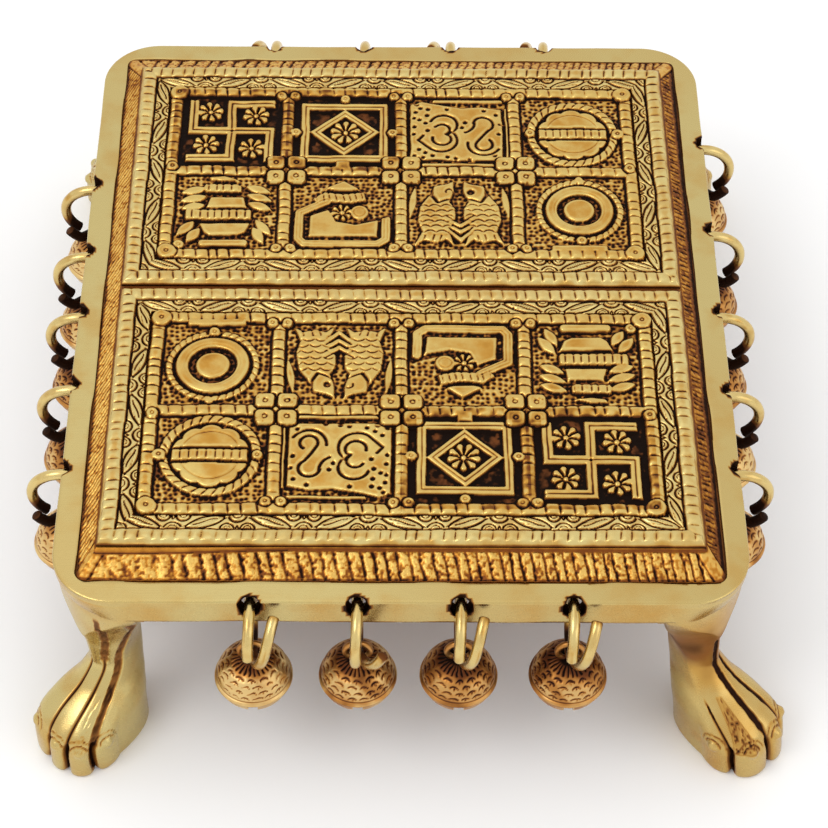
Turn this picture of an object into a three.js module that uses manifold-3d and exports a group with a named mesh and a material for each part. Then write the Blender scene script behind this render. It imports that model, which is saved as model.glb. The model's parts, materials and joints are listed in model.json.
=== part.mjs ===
// Bajot: a low brass table from western India, with two relief panels, four paw legs and a row of
// ghungroo bells on rings along every side. Millimetres, X across, Y from front to back, Z up.
import * as THREE from 'three';
import { mergeVertices } from 'three/addons/utils/BufferGeometryUtils.js';
import Module from 'manifold-3d';

const wasm = await Module();
wasm.setup();

const { lerp, degToRad } = THREE.MathUtils;

// Table
const tableWidth = 152.4;
const tableDepth = 177.8;
const rimHeight = 55;
const cornerRadius = 14;

// Stand casting: polished rim, skirt and the ledge that the bed lies on
const rimWidth = 5.5;
const rimThickness = 2.6;
const skirtHeight = 7.5;
const skirtThickness = 3;
const ledgeWidth = 6.2;
const bedRecess = 0.6;
const overrun = 1;

// Bed: the sloping border and the sheet under the panels
const fitGap = 0.3;
const bedEdgeHeight = 0.5;
const bedRise = 3;
const bedSheet = 1.8;
const bedMargin = 0.3;
const shoulderWidth = 0.9;
const shoulderDrop = 0.6;
const bedEdgeRadius = 2;
const bedCornerRadius = 1.5;

// Relief panels
const panelWidth = 132;
const panelDepth = 75;
const panelGap = 2;
const panelSlab = 0.9;
const ropeRise = 0.8;
const ropeRound = 0.4;
const outerRopeWidth = 3.8;
const innerRopeWidth = 3.3;
const vineWidth = 3.9;
const bossNotch = 1.1;
const bossReach = 4.2;
const bossRise = 1.1;
const emblemRise = 0.6;
const highRise = 0.8;
const emblemLine = 1.6;
const svastikaLine = 2.4;
const rosetteRadius = 2.7;

// Paw legs, measured inwards from the square corner of the table
const ankleHeight = 24;
const ankleInset = 5.9;
const ankleHeel = 22.2;
const ankleWidth = 9.2;
const kneeInset = 0.6;
const kneeWidth = 17.4;
const pawReach = 8.6;
const pawHeel = 17.6;
const pawWidth = 18.6;
const toeGroove = 1.4;

// Rings of round wire through slanting holes in the skirt
const wireDiameter = 2.5;
const ringDiameter = 17.4;
const ringInset = -0.2;
const ringTopDrop = 2.55;
const cutEndOffset = 3.3;
const hiddenEndOffset = 0.4;
const ringHoleDiameter = 5.1;
const ringHoleInset = 1.2;
const ringHoleDrop = 2.7;
const ringHoleLength = 14;
const ringHoleSlope = degToRad(38);
const bendAngle = degToRad(-75);
const cutEndAngle = degToRad(58);
const hiddenEndAngle = degToRad(-20);
const sideCutEndAngle = degToRad(-15);
const sideHiddenEndAngle = degToRad(-40);

// Ghungroo bells with an iron pellet in each
const bellDiameter = 17.5;
const bellRise = 7;
const bellDrop = 6.6;
const bellWall = 1;
const flangeThickness = 1;
const flangeWidth = 0.5;
const eyeHoleDiameter = 4.2;
const eyeWire = 1.4;
const eyeSink = 1.4;
const eyePlay = 0.5;
const pelletPlay = 0.3;
const slitWidth = 1.3;
const slitHeight = 1.9;
const pelletDiameter = 4;

// Facets
const cornerSteps = 5;
const bedCornerSteps = 3;
const toeCount = 4;
const stepsPerToe = 3;
const ringSteps = 13;
const wireSides = 6;
const holeSides = 8;
const bellSides = 10;
const cavitySides = 6;
const eyeSides = 8;
const eyeWireSides = 4;
const discSides = 10;
const fishSteps = 3;
const rosetteSides = 6;
const lowerDomeAngles = [Math.PI / 5];
const upperDomeAngles = [0, Math.PI / 4];
const cavityAngles = [Math.PI / 4];

// Where the rings hang, as shares of half the side that they hang on
const endRingShares = [-0.43, -0.125, 0.17, 0.49];
const leftRingShares = [0.427, 0.17, -0.052, -0.306, -0.585];
const rightRingShares = [0.602, 0.261, -0.042, -0.318, -0.58];

const colours = {
  polished: 0xd9b35a,
  ribbed: 0xb9822c,
  relief: 0xc2963f,
  wire: 0xd8c07a,
  bell: 0xa9854c,
  iron: 0x5c5a55,
};

function metal(color, roughness) {
  return new THREE.MeshStandardMaterial({ color, roughness, metalness: 1 });
}

// Joining and cutting

function solidOf(geometry) {
  const bare = geometry.clone();
  bare.deleteAttribute('normal');
  bare.deleteAttribute('uv');
  const merged = mergeVertices(bare);
  return new wasm.Manifold(new wasm.Mesh({
    numProp: 3,
    vertProperties: new Float32Array(merged.attributes.position.array),
    triVerts: new Uint32Array(merged.index.array),
  }));
}

function geometryOf(solid) {
  const mesh = solid.getMesh();
  const geometry = new THREE.BufferGeometry();
  geometry.setAttribute('position', new THREE.BufferAttribute(mesh.vertProperties, 3));
  geometry.setIndex(new THREE.BufferAttribute(mesh.triVerts, 1));
  geometry.computeVertexNormals();
  return geometry;
}

function join(solids) {
  return solids.reduce((whole, solid) => whole.add(solid));
}

// Outlines

function roundedRectangle(width, depth, radius) {
  const x = width / 2 - radius;
  const y = depth / 2 - radius;
  const shape = new THREE.Shape();
  shape.absarc(x, y, radius, 0, Math.PI / 2, false);
  shape.absarc(-x, y, radius, Math.PI / 2, Math.PI, false);
  shape.absarc(-x, -y, radius, Math.PI, 1.5 * Math.PI, false);
  shape.absarc(x, -y, radius, 1.5 * Math.PI, 2 * Math.PI, false);
  shape.closePath();
  return shape;
}

function polygon(corners) {
  return new THREE.Shape(corners.map(([x, y]) => new THREE.Vector2(x, y)));
}

function rectangle(width, depth, centreX = 0, centreY = 0) {
  const x = width / 2;
  const y = depth / 2;
  return polygon([
    [centreX - x, centreY - y],
    [centreX + x, centreY - y],
    [centreX + x, centreY + y],
    [centreX - x, centreY + y],
  ]);
}

function regularPolygon(sides, radius, centreX = 0, centreY = 0, turn = 0) {
  const corners = [];
  for (let i = 0; i < sides; i += 1) {
    const angle = turn + (i / sides) * 2 * Math.PI;
    corners.push([centreX + radius * Math.cos(angle), centreY + radius * Math.sin(angle)]);
  }
  return polygon(corners);
}

function withHole(shape, hole) {
  shape.holes.push(hole);
  return shape;
}

// Bodies

function prism(shape, bottom, top, curveSegments = cornerSteps) {
  const geometry = new THREE.ExtrudeGeometry(shape, {
    depth: top - bottom,
    bevelEnabled: false,
    curveSegments,
  });
  return solidOf(geometry.translate(0, 0, bottom));
}

// Block whose edges are chamfered above and below, for the ropes of the relief
function ropeBody(shape, bottom, top) {
  const geometry = new THREE.ExtrudeGeometry(shape, {
    depth: top - bottom - 2 * ropeRound,
    bevelThickness: ropeRound,
    bevelSize: ropeRound,
    bevelOffset: -ropeRound,
    bevelSegments: 1,
  });
  return solidOf(geometry.translate(0, 0, bottom + ropeRound));
}

// Closed body through a stack of horizontal outlines with the same number of points
function loft(outlines) {
  const count = outlines[0].length;
  const positions = outlines.flat().flatMap((point) => [point.x, point.y, point.z]);
  const triangles = [];
  for (let level = 0; level < outlines.length - 1; level += 1) {
    for (let i = 0; i < count; i += 1) {
      const a = level * count + i;
      const b = level * count + ((i + 1) % count);
      triangles.push(a, b, b + count, a, b + count, a + count);
    }
  }
  const addCap = (level, facesUp) => {
    const outline = outlines[level].map((point) => new THREE.Vector2(point.x, point.y));
    for (const face of THREE.ShapeUtils.triangulateShape(outline, [])) {
      const ordered = facesUp ? face : [...face].reverse();
      triangles.push(...ordered.map((index) => level * count + index));
    }
  };
  addCap(0, false);
  addCap(outlines.length - 1, true);
  const geometry = new THREE.BufferGeometry();
  geometry.setAttribute('position', new THREE.Float32BufferAttribute(positions, 3));
  geometry.setIndex(triangles);
  return geometry;
}

// Paw legs. A leg is lofted with X along the diagonal of its corner and 0 at the square corner of the
// table. A superellipse near exponent 1 is the square shank seen along its diagonal, and near 2.5 the
// broad paw. Three grooves run from the knee down between the four toes.

// Height, tip, heel, width and groove depth as shares from the ankle (0) to the sole (1), and exponent
const pawLevelShares = [
  [1, 0.95, 1, 0.91, 0.7, 2.4],
  [0.96, 1, 1, 1, 1, 2.5],
  [0.73, 0.98, 0.92, 1, 1, 2.5],
  [0.56, 0.9, 0.74, 0.95, 0.93, 2.4],
  [0.4, 0.66, 0.5, 0.7, 0.85, 2.2],
  [0.22, 0.24, 0.22, 0.22, 0.7, 1.9],
  [0, 0, 0, 0, 0.6, 1.7],
];
// Height, tip, heel, width as shares from the ankle (0) to the knee (1), groove depth and exponent
const shankLevelShares = [
  [0.3, 0.02, 0.22, 0.18, 0.5, 1.5],
  [0.59, 0.15, 0.53, 0.44, 0.4, 1.35],
  [0.83, 0.59, 0.72, 0.73, 0.2, 1.25],
  [1, 1, 1, 1, 0, 1.15],
];
const toeFanAngle = degToRad(75);
const heelStepAngle = degToRad(36);

function legAngles() {
  const angles = [];
  const toeSteps = toeCount * stepsPerToe;
  for (let i = 0; i <= toeSteps; i += 1) angles.push(toeFanAngle * (2 * (i / toeSteps) - 1));
  for (let a = Math.PI / 2; a < 1.5 * Math.PI + heelStepAngle / 2; a += heelStepAngle) angles.push(a);
  return angles;
}

// Depth of the carving at an angle: full between two toes, nothing along a toe
function grooveAt(angle) {
  const toe = (angle / toeFanAngle + 1) * (toeCount / 2);
  if (toe < 0.5 || toe > toeCount - 0.5) return 0;
  return 1 - Math.abs(Math.sin(Math.PI * toe));
}

function legOutline({ height, tip, heel, width, groove, exponent }) {
  const side = width / 2;
  const centre = tip - side;
  return legAngles().map((angle) => {
    const reach = Math.cos(angle) > 0 ? tip - centre : centre + heel;
    const along = Math.abs(Math.cos(angle) / reach) ** exponent;
    const across = Math.abs(Math.sin(angle) / side) ** exponent;
    const radius = (along + across) ** (-1 / exponent) - groove * grooveAt(angle);
    return new THREE.Vector3(centre + radius * Math.cos(angle), radius * Math.sin(angle), height);
  });
}

function legGeometry() {
  const skirtBottom = rimHeight - skirtHeight;
  const ankle = { height: ankleHeight, tip: -ankleInset * Math.SQRT2, heel: ankleHeel, width: ankleWidth };
  const kneeDiagonal = kneeWidth * Math.SQRT2;
  const kneeTip = -kneeInset * Math.SQRT2;
  const knee = { height: skirtBottom, tip: kneeTip, heel: kneeDiagonal - kneeTip, width: kneeDiagonal };
  const sole = { height: 0, tip: pawReach, heel: pawHeel, width: pawWidth };
  const levels = (end, shares) => shares.map(([height, tip, heel, width, groove, exponent]) => legOutline({
    height: lerp(ankle.height, end.height, height),
    tip: lerp(ankle.tip, end.tip, tip),
    heel: lerp(ankle.heel, end.heel, heel),
    width: lerp(ankle.width, end.width, width),
    groove: toeGroove * groove,
    exponent,
  }));
  const [, , , , , kneeExponent] = shankLevelShares.at(-1);
  const buried = legOutline({
    height: rimHeight - rimThickness / 2,
    tip: 0,
    heel: kneeDiagonal,
    width: kneeDiagonal,
    groove: 0,
    exponent: kneeExponent,
  });
  return loft([...levels(sole, pawLevelShares), ...levels(knee, shankLevelShares), buried]);
}

function legSolids() {
  const outline = roundedRectangle(tableWidth, tableDepth, cornerRadius);
  const reach = tableWidth + pawReach;
  const envelope = prism(outline, ankleHeight, rimHeight)
    .add(prism(rectangle(2 * reach, 2 * reach), -overrun, ankleHeight + overrun));
  const corners = [[1, -1], [1, 1], [-1, 1], [-1, -1]];
  return corners.map(([sideX, sideY]) => {
    const leg = legGeometry();
    leg.rotateZ(Math.atan2(sideY, sideX));
    leg.translate((sideX * tableWidth) / 2, (sideY * tableDepth) / 2, 0);
    return solidOf(leg).intersect(envelope);
  });
}

// Hangers: one local frame at each ring, with X outwards from the skirt and Z up, at the rim's edge

const hangers = [];

function addHangers(wall, shares, placeOf) {
  shares.forEach((share, index) => {
    hangers.push({ name: `${wall}_${index + 1}`, wall, ...placeOf(share) });
  });
}

addHangers('front', endRingShares, (share) => (
  { x: (share * tableWidth) / 2, y: -tableDepth / 2, turn: -Math.PI / 2 }));
addHangers('rear', endRingShares, (share) => (
  { x: (share * tableWidth) / 2, y: tableDepth / 2, turn: Math.PI / 2 }));
addHangers('left', leftRingShares, (share) => (
  { x: -tableWidth / 2, y: (share * tableDepth) / 2, turn: Math.PI }));
addHangers('right', rightRingShares, (share) => (
  { x: tableWidth / 2, y: (share * tableDepth) / 2, turn: 0 }));

// Stand: rim, skirt, ledge and legs in one casting, drilled for the rings

function ringHole({ x, y, turn }) {
  const hole = new THREE.CylinderGeometry(
    ringHoleDiameter / 2, ringHoleDiameter / 2, ringHoleLength, holeSides);
  hole.rotateZ(Math.PI / 2);
  hole.rotateY(-ringHoleSlope);
  hole.translate(-ringHoleInset, 0, -ringHoleDrop);
  hole.rotateZ(turn);
  hole.translate(x, y, rimHeight);
  return solidOf(hole);
}

function standSolid() {
  const inside = (inset) => roundedRectangle(
    tableWidth - 2 * inset, tableDepth - 2 * inset, cornerRadius - inset);
  const ledgeInset = rimWidth + ledgeWidth;
  const skirtBottom = rimHeight - skirtHeight;
  const frame = prism(inside(0), skirtBottom, rimHeight)
    .subtract(prism(inside(skirtThickness), skirtBottom - overrun, rimHeight - rimThickness));
  const opening = prism(
    rectangle(tableWidth - 2 * ledgeInset, tableDepth - 2 * ledgeInset),
    skirtBottom - overrun,
    rimHeight + overrun,
  );
  const recessOutline = roundedRectangle(
    tableWidth - 2 * rimWidth, tableDepth - 2 * rimWidth, bedEdgeRadius + fitGap);
  const recess = prism(recessOutline, rimHeight - bedRecess, rimHeight + overrun, bedCornerSteps);
  const casting = join([frame.subtract(opening), ...legSolids()]).subtract(recess);
  return casting.subtract(join(hangers.map(ringHole)));
}

// Bed: a cast tray turned over, with sloping sides up to the panels

function bedOutline(inset, radius, height) {
  const base = rimWidth + fitGap;
  const top = {
    x: panelWidth / 2 + bedMargin,
    y: panelDepth + panelGap / 2 + bedMargin,
  };
  const halfX = lerp(tableWidth / 2 - base, top.x, inset);
  const halfY = lerp(tableDepth / 2 - base, top.y, inset);
  const points = roundedRectangle(2 * halfX, 2 * halfY, radius).getPoints(bedCornerSteps).slice(0, -1);
  return points.map((point) => new THREE.Vector3(point.x, point.y, height));
}

function bedSolid() {
  const floor = rimHeight - bedRecess;
  const shelf = rimHeight + bedRise - shoulderDrop;
  const slopeWidth = tableWidth / 2 - rimWidth - fitGap - panelWidth / 2 - bedMargin;
  const shoulderShare = 1 - shoulderWidth / slopeWidth;
  const tray = solidOf(loft([
    bedOutline(0, bedEdgeRadius, floor),
    bedOutline(0, bedEdgeRadius, floor + bedEdgeHeight),
    bedOutline(shoulderShare, bedCornerRadius, shelf),
    bedOutline(1, bedCornerRadius, rimHeight + bedRise),
  ]));
  const ledgeInset = rimWidth + ledgeWidth;
  const hollow = prism(
    rectangle(tableWidth - 2 * ledgeInset, tableDepth - 2 * ledgeInset),
    floor - overrun,
    rimHeight + bedRise - bedSheet,
  );
  return tray.subtract(hollow);
}

// Relief panels, with the eight auspicious signs right way up on the rear one. Each sign is drawn in
// shares of half the side of its cell, from the middle of the cell.

const gridWidth = panelWidth - 2 * (outerRopeWidth + vineWidth) - innerRopeWidth;
const gridDepth = panelDepth - 2 * (outerRopeWidth + vineWidth) - innerRopeWidth;
const cellColumns = 4;
const cellRows = 2;
const columnPitch = gridWidth / cellColumns;
const rowPitch = gridDepth / cellRows;
const cellHalf = (Math.min(columnPitch, rowPitch) - innerRopeWidth) / 2;

const svastikaReachShare = 0.86;
const lozengeShare = 0.82;
const plaqueShares = { width: 1.8, depth: 1.5 };
const wheelShares = { lobe: 0.86, hollow: 0.78, bandWidth: 1.7, bandDepth: 0.24 };
// Width, low edge and high edge of the mouldings of the throne
const throneLowShares = [
  [0.8, -0.88, -0.72],
  [1, -0.66, -0.42],
  [0.8, -0.1, 0.2],
  [0.7, 0.56, 0.7],
];
const throneHighShares = [
  [1.4, -0.38, -0.14],
  [1.3, 0.24, 0.48],
];
const throneLeafShares = [
  [0.45, -0.08],
  [0.9, -0.04],
  [0.95, 0.12],
  [0.45, 0.16],
];
const hookBandShares = [
  [0.8, -0.2],
  [0.8, 0.3],
  [0.62, 0.3],
  [0.62, -0.6],
  [-0.62, -0.6],
  [-0.62, -0.1],
  [-0.1, 0.3],
  [-0.25, 0.45],
  [-0.85, -0.02],
  [-0.85, -0.8],
  [0.8, -0.8],
];
const hookLeafShares = [
  [-0.6, 0.5],
  [0.5, 0.45],
  [0, 0.85],
];
const hookRosetteShares = [0.05, -0.15];
const fishShares = {
  apart: 0.42,
  nose: 0.86,
  girth: 0.42,
  shoulder: 0.35,
  tailRoot: 0.1,
  tailStart: -0.5,
  fork: 0.3,
  cleft: -0.7,
};
const mirrorShares = { outer: 0.7, inner: 0.52, disc: 0.36, footWidth: 1.1, footDepth: 0.16, foot: -0.95 };

function scaledPolygon(shares, side = 1) {
  return polygon(shares.map(([x, y]) => [side * x * cellHalf, y * cellHalf]));
}

function scaledRectangle(width, depth, centreX = 0, centreY = 0) {
  return rectangle(width * cellHalf, depth * cellHalf, centreX * cellHalf, centreY * cellHalf);
}

function rosette(centreX, centreY) {
  return { shape: regularPolygon(rosetteSides, rosetteRadius, centreX, centreY), rise: highRise };
}

// Svastika with a rosette in each quarter
function svastika() {
  const reach = svastikaReachShare * cellHalf;
  const line = svastikaLine;
  const endCentre = reach - line / 2;
  const bars = [
    rectangle(line, 2 * reach),
    rectangle(2 * reach, line),
    rectangle(reach, line, reach / 2, endCentre),
    rectangle(line, reach, endCentre, -reach / 2),
    rectangle(reach, line, -reach / 2, -endCentre),
    rectangle(line, reach, -endCentre, reach / 2),
  ];
  const quarter = endCentre / 2;
  return [
    ...bars.map((shape) => ({ shape, rise: emblemRise })),
    rosette(quarter, quarter),
    rosette(quarter, -quarter),
    rosette(-quarter, -quarter),
    rosette(-quarter, quarter),
  ];
}

function lozenge() {
  const half = lozengeShare * cellHalf;
  const inner = half - emblemLine;
  const frame = withHole(rectangle(2 * half, 2 * half), rectangle(2 * inner, 2 * inner));
  const point = inner + emblemLine / 2;
  const diamond = withHole(
    regularPolygon(4, point),
    regularPolygon(4, point - emblemLine * Math.SQRT2),
  );
  return [
    { shape: frame, rise: emblemRise },
    { shape: diamond, rise: emblemRise },
    rosette(0, 0),
  ];
}

function plaque() {
  return [{ shape: scaledRectangle(plaqueShares.width, plaqueShares.depth), rise: emblemRise }];
}

// Wheel with a scalloped edge and a band across it
function wheel() {
  const { lobe, hollow, bandWidth, bandDepth } = wheelShares;
  const edge = [];
  const steps = 2 * discSides;
  for (let i = 0; i < steps; i += 1) {
    const angle = (i / steps) * 2 * Math.PI;
    const radius = i % 2 === 0 ? lobe : hollow;
    edge.push([radius * Math.cos(angle), radius * Math.sin(angle)]);
  }
  return [
    { shape: scaledPolygon(edge), rise: emblemRise },
    { shape: scaledRectangle(bandWidth, bandDepth), rise: highRise },
  ];
}

// Throne: stacked mouldings with leaves at the sides
function throne() {
  const bars = (shares, rise) => shares.map(([width, low, high]) => (
    { shape: scaledRectangle(width, high - low, 0, (low + high) / 2), rise }));
  return [
    ...bars(throneLowShares, emblemRise),
    ...bars(throneHighShares, highRise),
    { shape: scaledPolygon(throneLeafShares), rise: emblemRise },
    { shape: scaledPolygon(throneLeafShares, -1), rise: emblemRise },
  ];
}

// Hook: a broad band bent round a rosette, ending in a leaf
function hook() {
  const [rosetteX, rosetteY] = hookRosetteShares;
  return [
    { shape: scaledPolygon(hookBandShares), rise: emblemRise },
    { shape: scaledPolygon(hookLeafShares), rise: emblemRise },
    rosette(rosetteX * cellHalf, rosetteY * cellHalf),
  ];
}

// Twin fish, nose up, with forked tails
function fish() {
  const h = cellHalf;
  const { apart, nose, girth, shoulder, tailRoot, tailStart, fork, cleft } = fishShares;
  const outline = (side) => {
    const x = side * apart * h;
    const shape = new THREE.Shape();
    shape.moveTo(x, nose * h);
    shape.quadraticCurveTo(x + girth * h, shoulder * h, x + tailRoot * h, tailStart * h);
    shape.lineTo(x + fork * h, -nose * h);
    shape.lineTo(x, cleft * h);
    shape.lineTo(x - fork * h, -nose * h);
    shape.lineTo(x - tailRoot * h, tailStart * h);
    shape.quadraticCurveTo(x - girth * h, shoulder * h, x, nose * h);
    return shape;
  };
  return [
    { shape: outline(1), rise: emblemRise },
    { shape: outline(-1), rise: emblemRise },
  ];
}

// Mirror in a ring, on a foot
function mirror() {
  const { outer, inner, disc, footWidth, footDepth, foot } = mirrorShares;
  const ring = withHole(
    regularPolygon(discSides, outer * cellHalf),
    regularPolygon(discSides, inner * cellHalf),
  );
  return [
    { shape: ring, rise: highRise },
    { shape: regularPolygon(discSides, disc * cellHalf), rise: emblemRise },
    { shape: scaledRectangle(footWidth, footDepth, 0, foot), rise: highRise },
  ];
}

const emblemRows = [
  [svastika, lozenge, plaque, wheel],
  [throne, hook, fish, mirror],
];

function emblemSolids() {
  const solids = [];
  emblemRows.forEach((row, rowIndex) => {
    row.forEach((draw, column) => {
      const x = (column - (cellColumns - 1) / 2) * columnPitch;
      const y = ((cellRows - 1) / 2 - rowIndex) * rowPitch;
      for (const { shape, rise } of draw()) {
        const body = prism(shape, panelSlab / 2, panelSlab + rise, fishSteps);
        solids.push(body.translate([x, y, 0]));
      }
    });
  });
  return solids;
}

function borderRope(width, depth, ropeWidth) {
  return withHole(
    rectangle(width, depth),
    rectangle(width - 2 * ropeWidth, depth - 2 * ropeWidth),
  );
}

function gridRopes(bottom, top) {
  const ropes = [prism(borderRope(
    gridWidth + innerRopeWidth, gridDepth + innerRopeWidth, innerRopeWidth), bottom, top)];
  for (let crossing = 1; crossing < cellColumns; crossing += 1) {
    const x = crossing * columnPitch - gridWidth / 2;
    ropes.push(prism(rectangle(innerRopeWidth, gridDepth, x, 0), bottom, top));
  }
  for (let crossing = 1; crossing < cellRows; crossing += 1) {
    const y = crossing * rowPitch - gridDepth / 2;
    ropes.push(prism(rectangle(gridWidth, innerRopeWidth, 0, y), bottom, top));
  }
  return ropes;
}

// Four-petalled bosses where the ropes cross
function bossSolids() {
  const lobe = [
    [bossNotch, 0],
    [bossReach, bossNotch],
    [bossReach, bossReach],
    [bossNotch, bossReach],
  ];
  const outline = [];
  for (let quarter = 0; quarter < 4; quarter += 1) {
    const turn = (quarter * Math.PI) / 2;
    for (const [x, y] of lobe) {
      outline.push([x * Math.cos(turn) - y * Math.sin(turn), x * Math.sin(turn) + y * Math.cos(turn)]);
    }
  }
  const solids = [];
  for (let crossing = 1; crossing < cellColumns; crossing += 1) {
    const x = crossing * columnPitch - gridWidth / 2;
    const boss = prism(polygon(outline), panelSlab / 2, panelSlab + bossRise);
    solids.push(boss.translate([x, 0, 0]));
  }
  return solids;
}

function panelSolid() {
  const ropeTop = panelSlab + ropeRise;
  return join([
    prism(rectangle(panelWidth, panelDepth), 0, panelSlab),
    ropeBody(borderRope(panelWidth, panelDepth, outerRopeWidth), 0, ropeTop),
    ...gridRopes(0, ropeTop),
    ...emblemSolids(),
    ...bossSolids(),
  ]);
}

// Ring: wire bent more than a turn, its cut end leaning away beside the end that comes down from
// the hole. Angles run in the plane square to the skirt: 0 outwards and a quarter turn up. At the
// sides the ends are tucked low, and hand 1 or -1 says which way the cut end leans.
class RingCurve extends THREE.Curve {
  constructor(cutAngle, hiddenAngle, hand) {
    super();
    this.cutAngle = cutAngle;
    this.hiddenAngle = hiddenAngle;
    this.hand = hand;
  }

  getPoint(t, target = new THREE.Vector3()) {
    const radius = (ringDiameter - wireDiameter) / 2;
    const angle = lerp(this.cutAngle, this.hiddenAngle - 2 * Math.PI, t);
    const ease = (from, to) => THREE.MathUtils.smoothstep((angle - from) / (to - from), 0, 1);
    const cutEnd = cutEndOffset * ease(bendAngle, this.hiddenAngle);
    const hiddenEnd = hiddenEndOffset * ease(-1.5 * Math.PI, -2 * Math.PI);
    return target.set(
      radius * Math.cos(angle),
      this.hand * (cutEnd - hiddenEnd),
      radius * Math.sin(angle),
    );
  }
}

function ringGeometry(cutAngle, hiddenAngle, hand) {
  const section = regularPolygon(wireSides, wireDiameter / 2);
  return new THREE.ExtrudeGeometry(section, {
    steps: ringSteps,
    extrudePath: new RingCurve(cutAngle, hiddenAngle, hand),
  });
}

// Bell: a cast shell in two domes with a flange between them, an eye above and a crossed slit below

const eyeCentreHeight = bellRise + eyeHoleDiameter / 2 + eyeWire - eyeSink;

function domePoints(radius, base, height, angles) {
  return angles.map((angle) => new THREE.Vector2(
    radius * Math.cos(angle), base + height * Math.sin(angle)));
}

function lathe(points, sides) {
  return solidOf(new THREE.LatheGeometry(points, sides).rotateX(Math.PI / 2));
}

function bellSolid() {
  const radius = bellDiameter / 2 - flangeWidth;
  const flange = flangeThickness / 2;
  const outside = [
    new THREE.Vector2(0, -bellDrop),
    ...domePoints(radius, -flange, flange - bellDrop, lowerDomeAngles),
    new THREE.Vector2(bellDiameter / 2, -flange),
    new THREE.Vector2(bellDiameter / 2, flange),
    ...domePoints(radius, flange, bellRise - flange, upperDomeAngles),
    new THREE.Vector2(0, bellRise),
  ];
  const inside = [
    new THREE.Vector2(0, bellWall - bellDrop),
    ...domePoints(radius - bellWall, 0, bellWall - bellDrop, cavityAngles),
    new THREE.Vector2(radius - bellWall, 0),
    ...domePoints(radius - bellWall, 0, bellRise - bellWall, cavityAngles),
    new THREE.Vector2(0, bellRise - bellWall),
  ];
  const eye = new THREE.TorusGeometry(
    (eyeHoleDiameter + eyeWire) / 2, eyeWire / 2, eyeWireSides, eyeSides);
  eye.rotateY(Math.PI / 2);
  eye.translate(0, 0, eyeCentreHeight);
  const slitTop = slitHeight - bellDrop;
  const slit = prism(rectangle(bellDiameter, slitWidth), -bellDrop - overrun, slitTop)
    .add(prism(rectangle(slitWidth, bellDiameter), -bellDrop - overrun, slitTop));
  return lathe(outside, bellSides)
    .add(solidOf(eye))
    .subtract(lathe(inside, cavitySides))
    .subtract(slit);
}

// Assembly

const bajot = new THREE.Group();

function addPiece(parent, name, geometry, material) {
  const piece = new THREE.Mesh(geometry, material);
  piece.name = name;
  parent.add(piece);
  return piece;
}

addPiece(bajot, 'stand', geometryOf(standSolid()), metal(colours.polished, 0.28));
addPiece(bajot, 'ribbed_bed', geometryOf(bedSolid()), metal(colours.ribbed, 0.45));

const panelGeometry = geometryOf(panelSolid());
const panelCentre = (panelDepth + panelGap) / 2;
const rearPanel = addPiece(bajot, 'relief_panel_rear', panelGeometry, metal(colours.relief, 0.38));
rearPanel.position.set(0, panelCentre, rimHeight + bedRise);
const frontPanel = addPiece(bajot, 'relief_panel_front', panelGeometry, metal(colours.relief, 0.38));
frontPanel.position.set(0, -panelCentre, rimHeight + bedRise);
frontPanel.rotation.z = Math.PI;

const ringRadius = (ringDiameter - wireDiameter) / 2;
const ringDrop = ringTopDrop + ringRadius;
const eyeDrop = ringDrop + ringRadius + (eyeHoleDiameter - wireDiameter) / 2 - eyePlay;
const bellCentreDrop = eyeDrop + eyeCentreHeight;
const pelletRest = bellDrop - bellWall - pelletDiameter / 2 - pelletPlay;

const endRingShape = ringGeometry(cutEndAngle, hiddenEndAngle, 1);
const ringShapes = {
  front: endRingShape,
  rear: endRingShape,
  left: ringGeometry(sideCutEndAngle, sideHiddenEndAngle, 1),
  right: ringGeometry(sideCutEndAngle, sideHiddenEndAngle, -1),
};
const bellShape = geometryOf(bellSolid());
const pelletShape = new THREE.IcosahedronGeometry(pelletDiameter / 2);

for (const { name, wall, x, y, turn } of hangers) {
  const hanger = new THREE.Group();
  hanger.position.set(x, y, rimHeight);
  hanger.rotation.z = turn;
  bajot.add(hanger);
  const ring = addPiece(hanger, `ring_${name}`, ringShapes[wall], metal(colours.wire, 0.3));
  ring.position.set(-ringInset, 0, -ringDrop);
  const bell = addPiece(hanger, `bell_${name}`, bellShape, metal(colours.bell, 0.42));
  bell.position.set(-ringInset, 0, -bellCentreDrop);
  const pellet = addPiece(hanger, `pellet_${name}`, pelletShape, metal(colours.iron, 0.6));
  pellet.position.set(-ringInset, 0, -bellCentreDrop - pelletRest);
}

export default bajot;
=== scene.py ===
"""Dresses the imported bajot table: cast relief, ribbed bed, filed stand, wire rings and ghungroo bells.

Lengths in the classes are millimetres, as a pattern maker would write them. Every mesh is put into
metres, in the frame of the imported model, when it becomes an object.
"""
import json
import logging
import math
from dataclasses import dataclass
from enum import Enum
from itertools import product
from typing import Iterable, Optional, Sequence

import bpy
import numpy as np
from mathutils import Matrix, Vector

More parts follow.
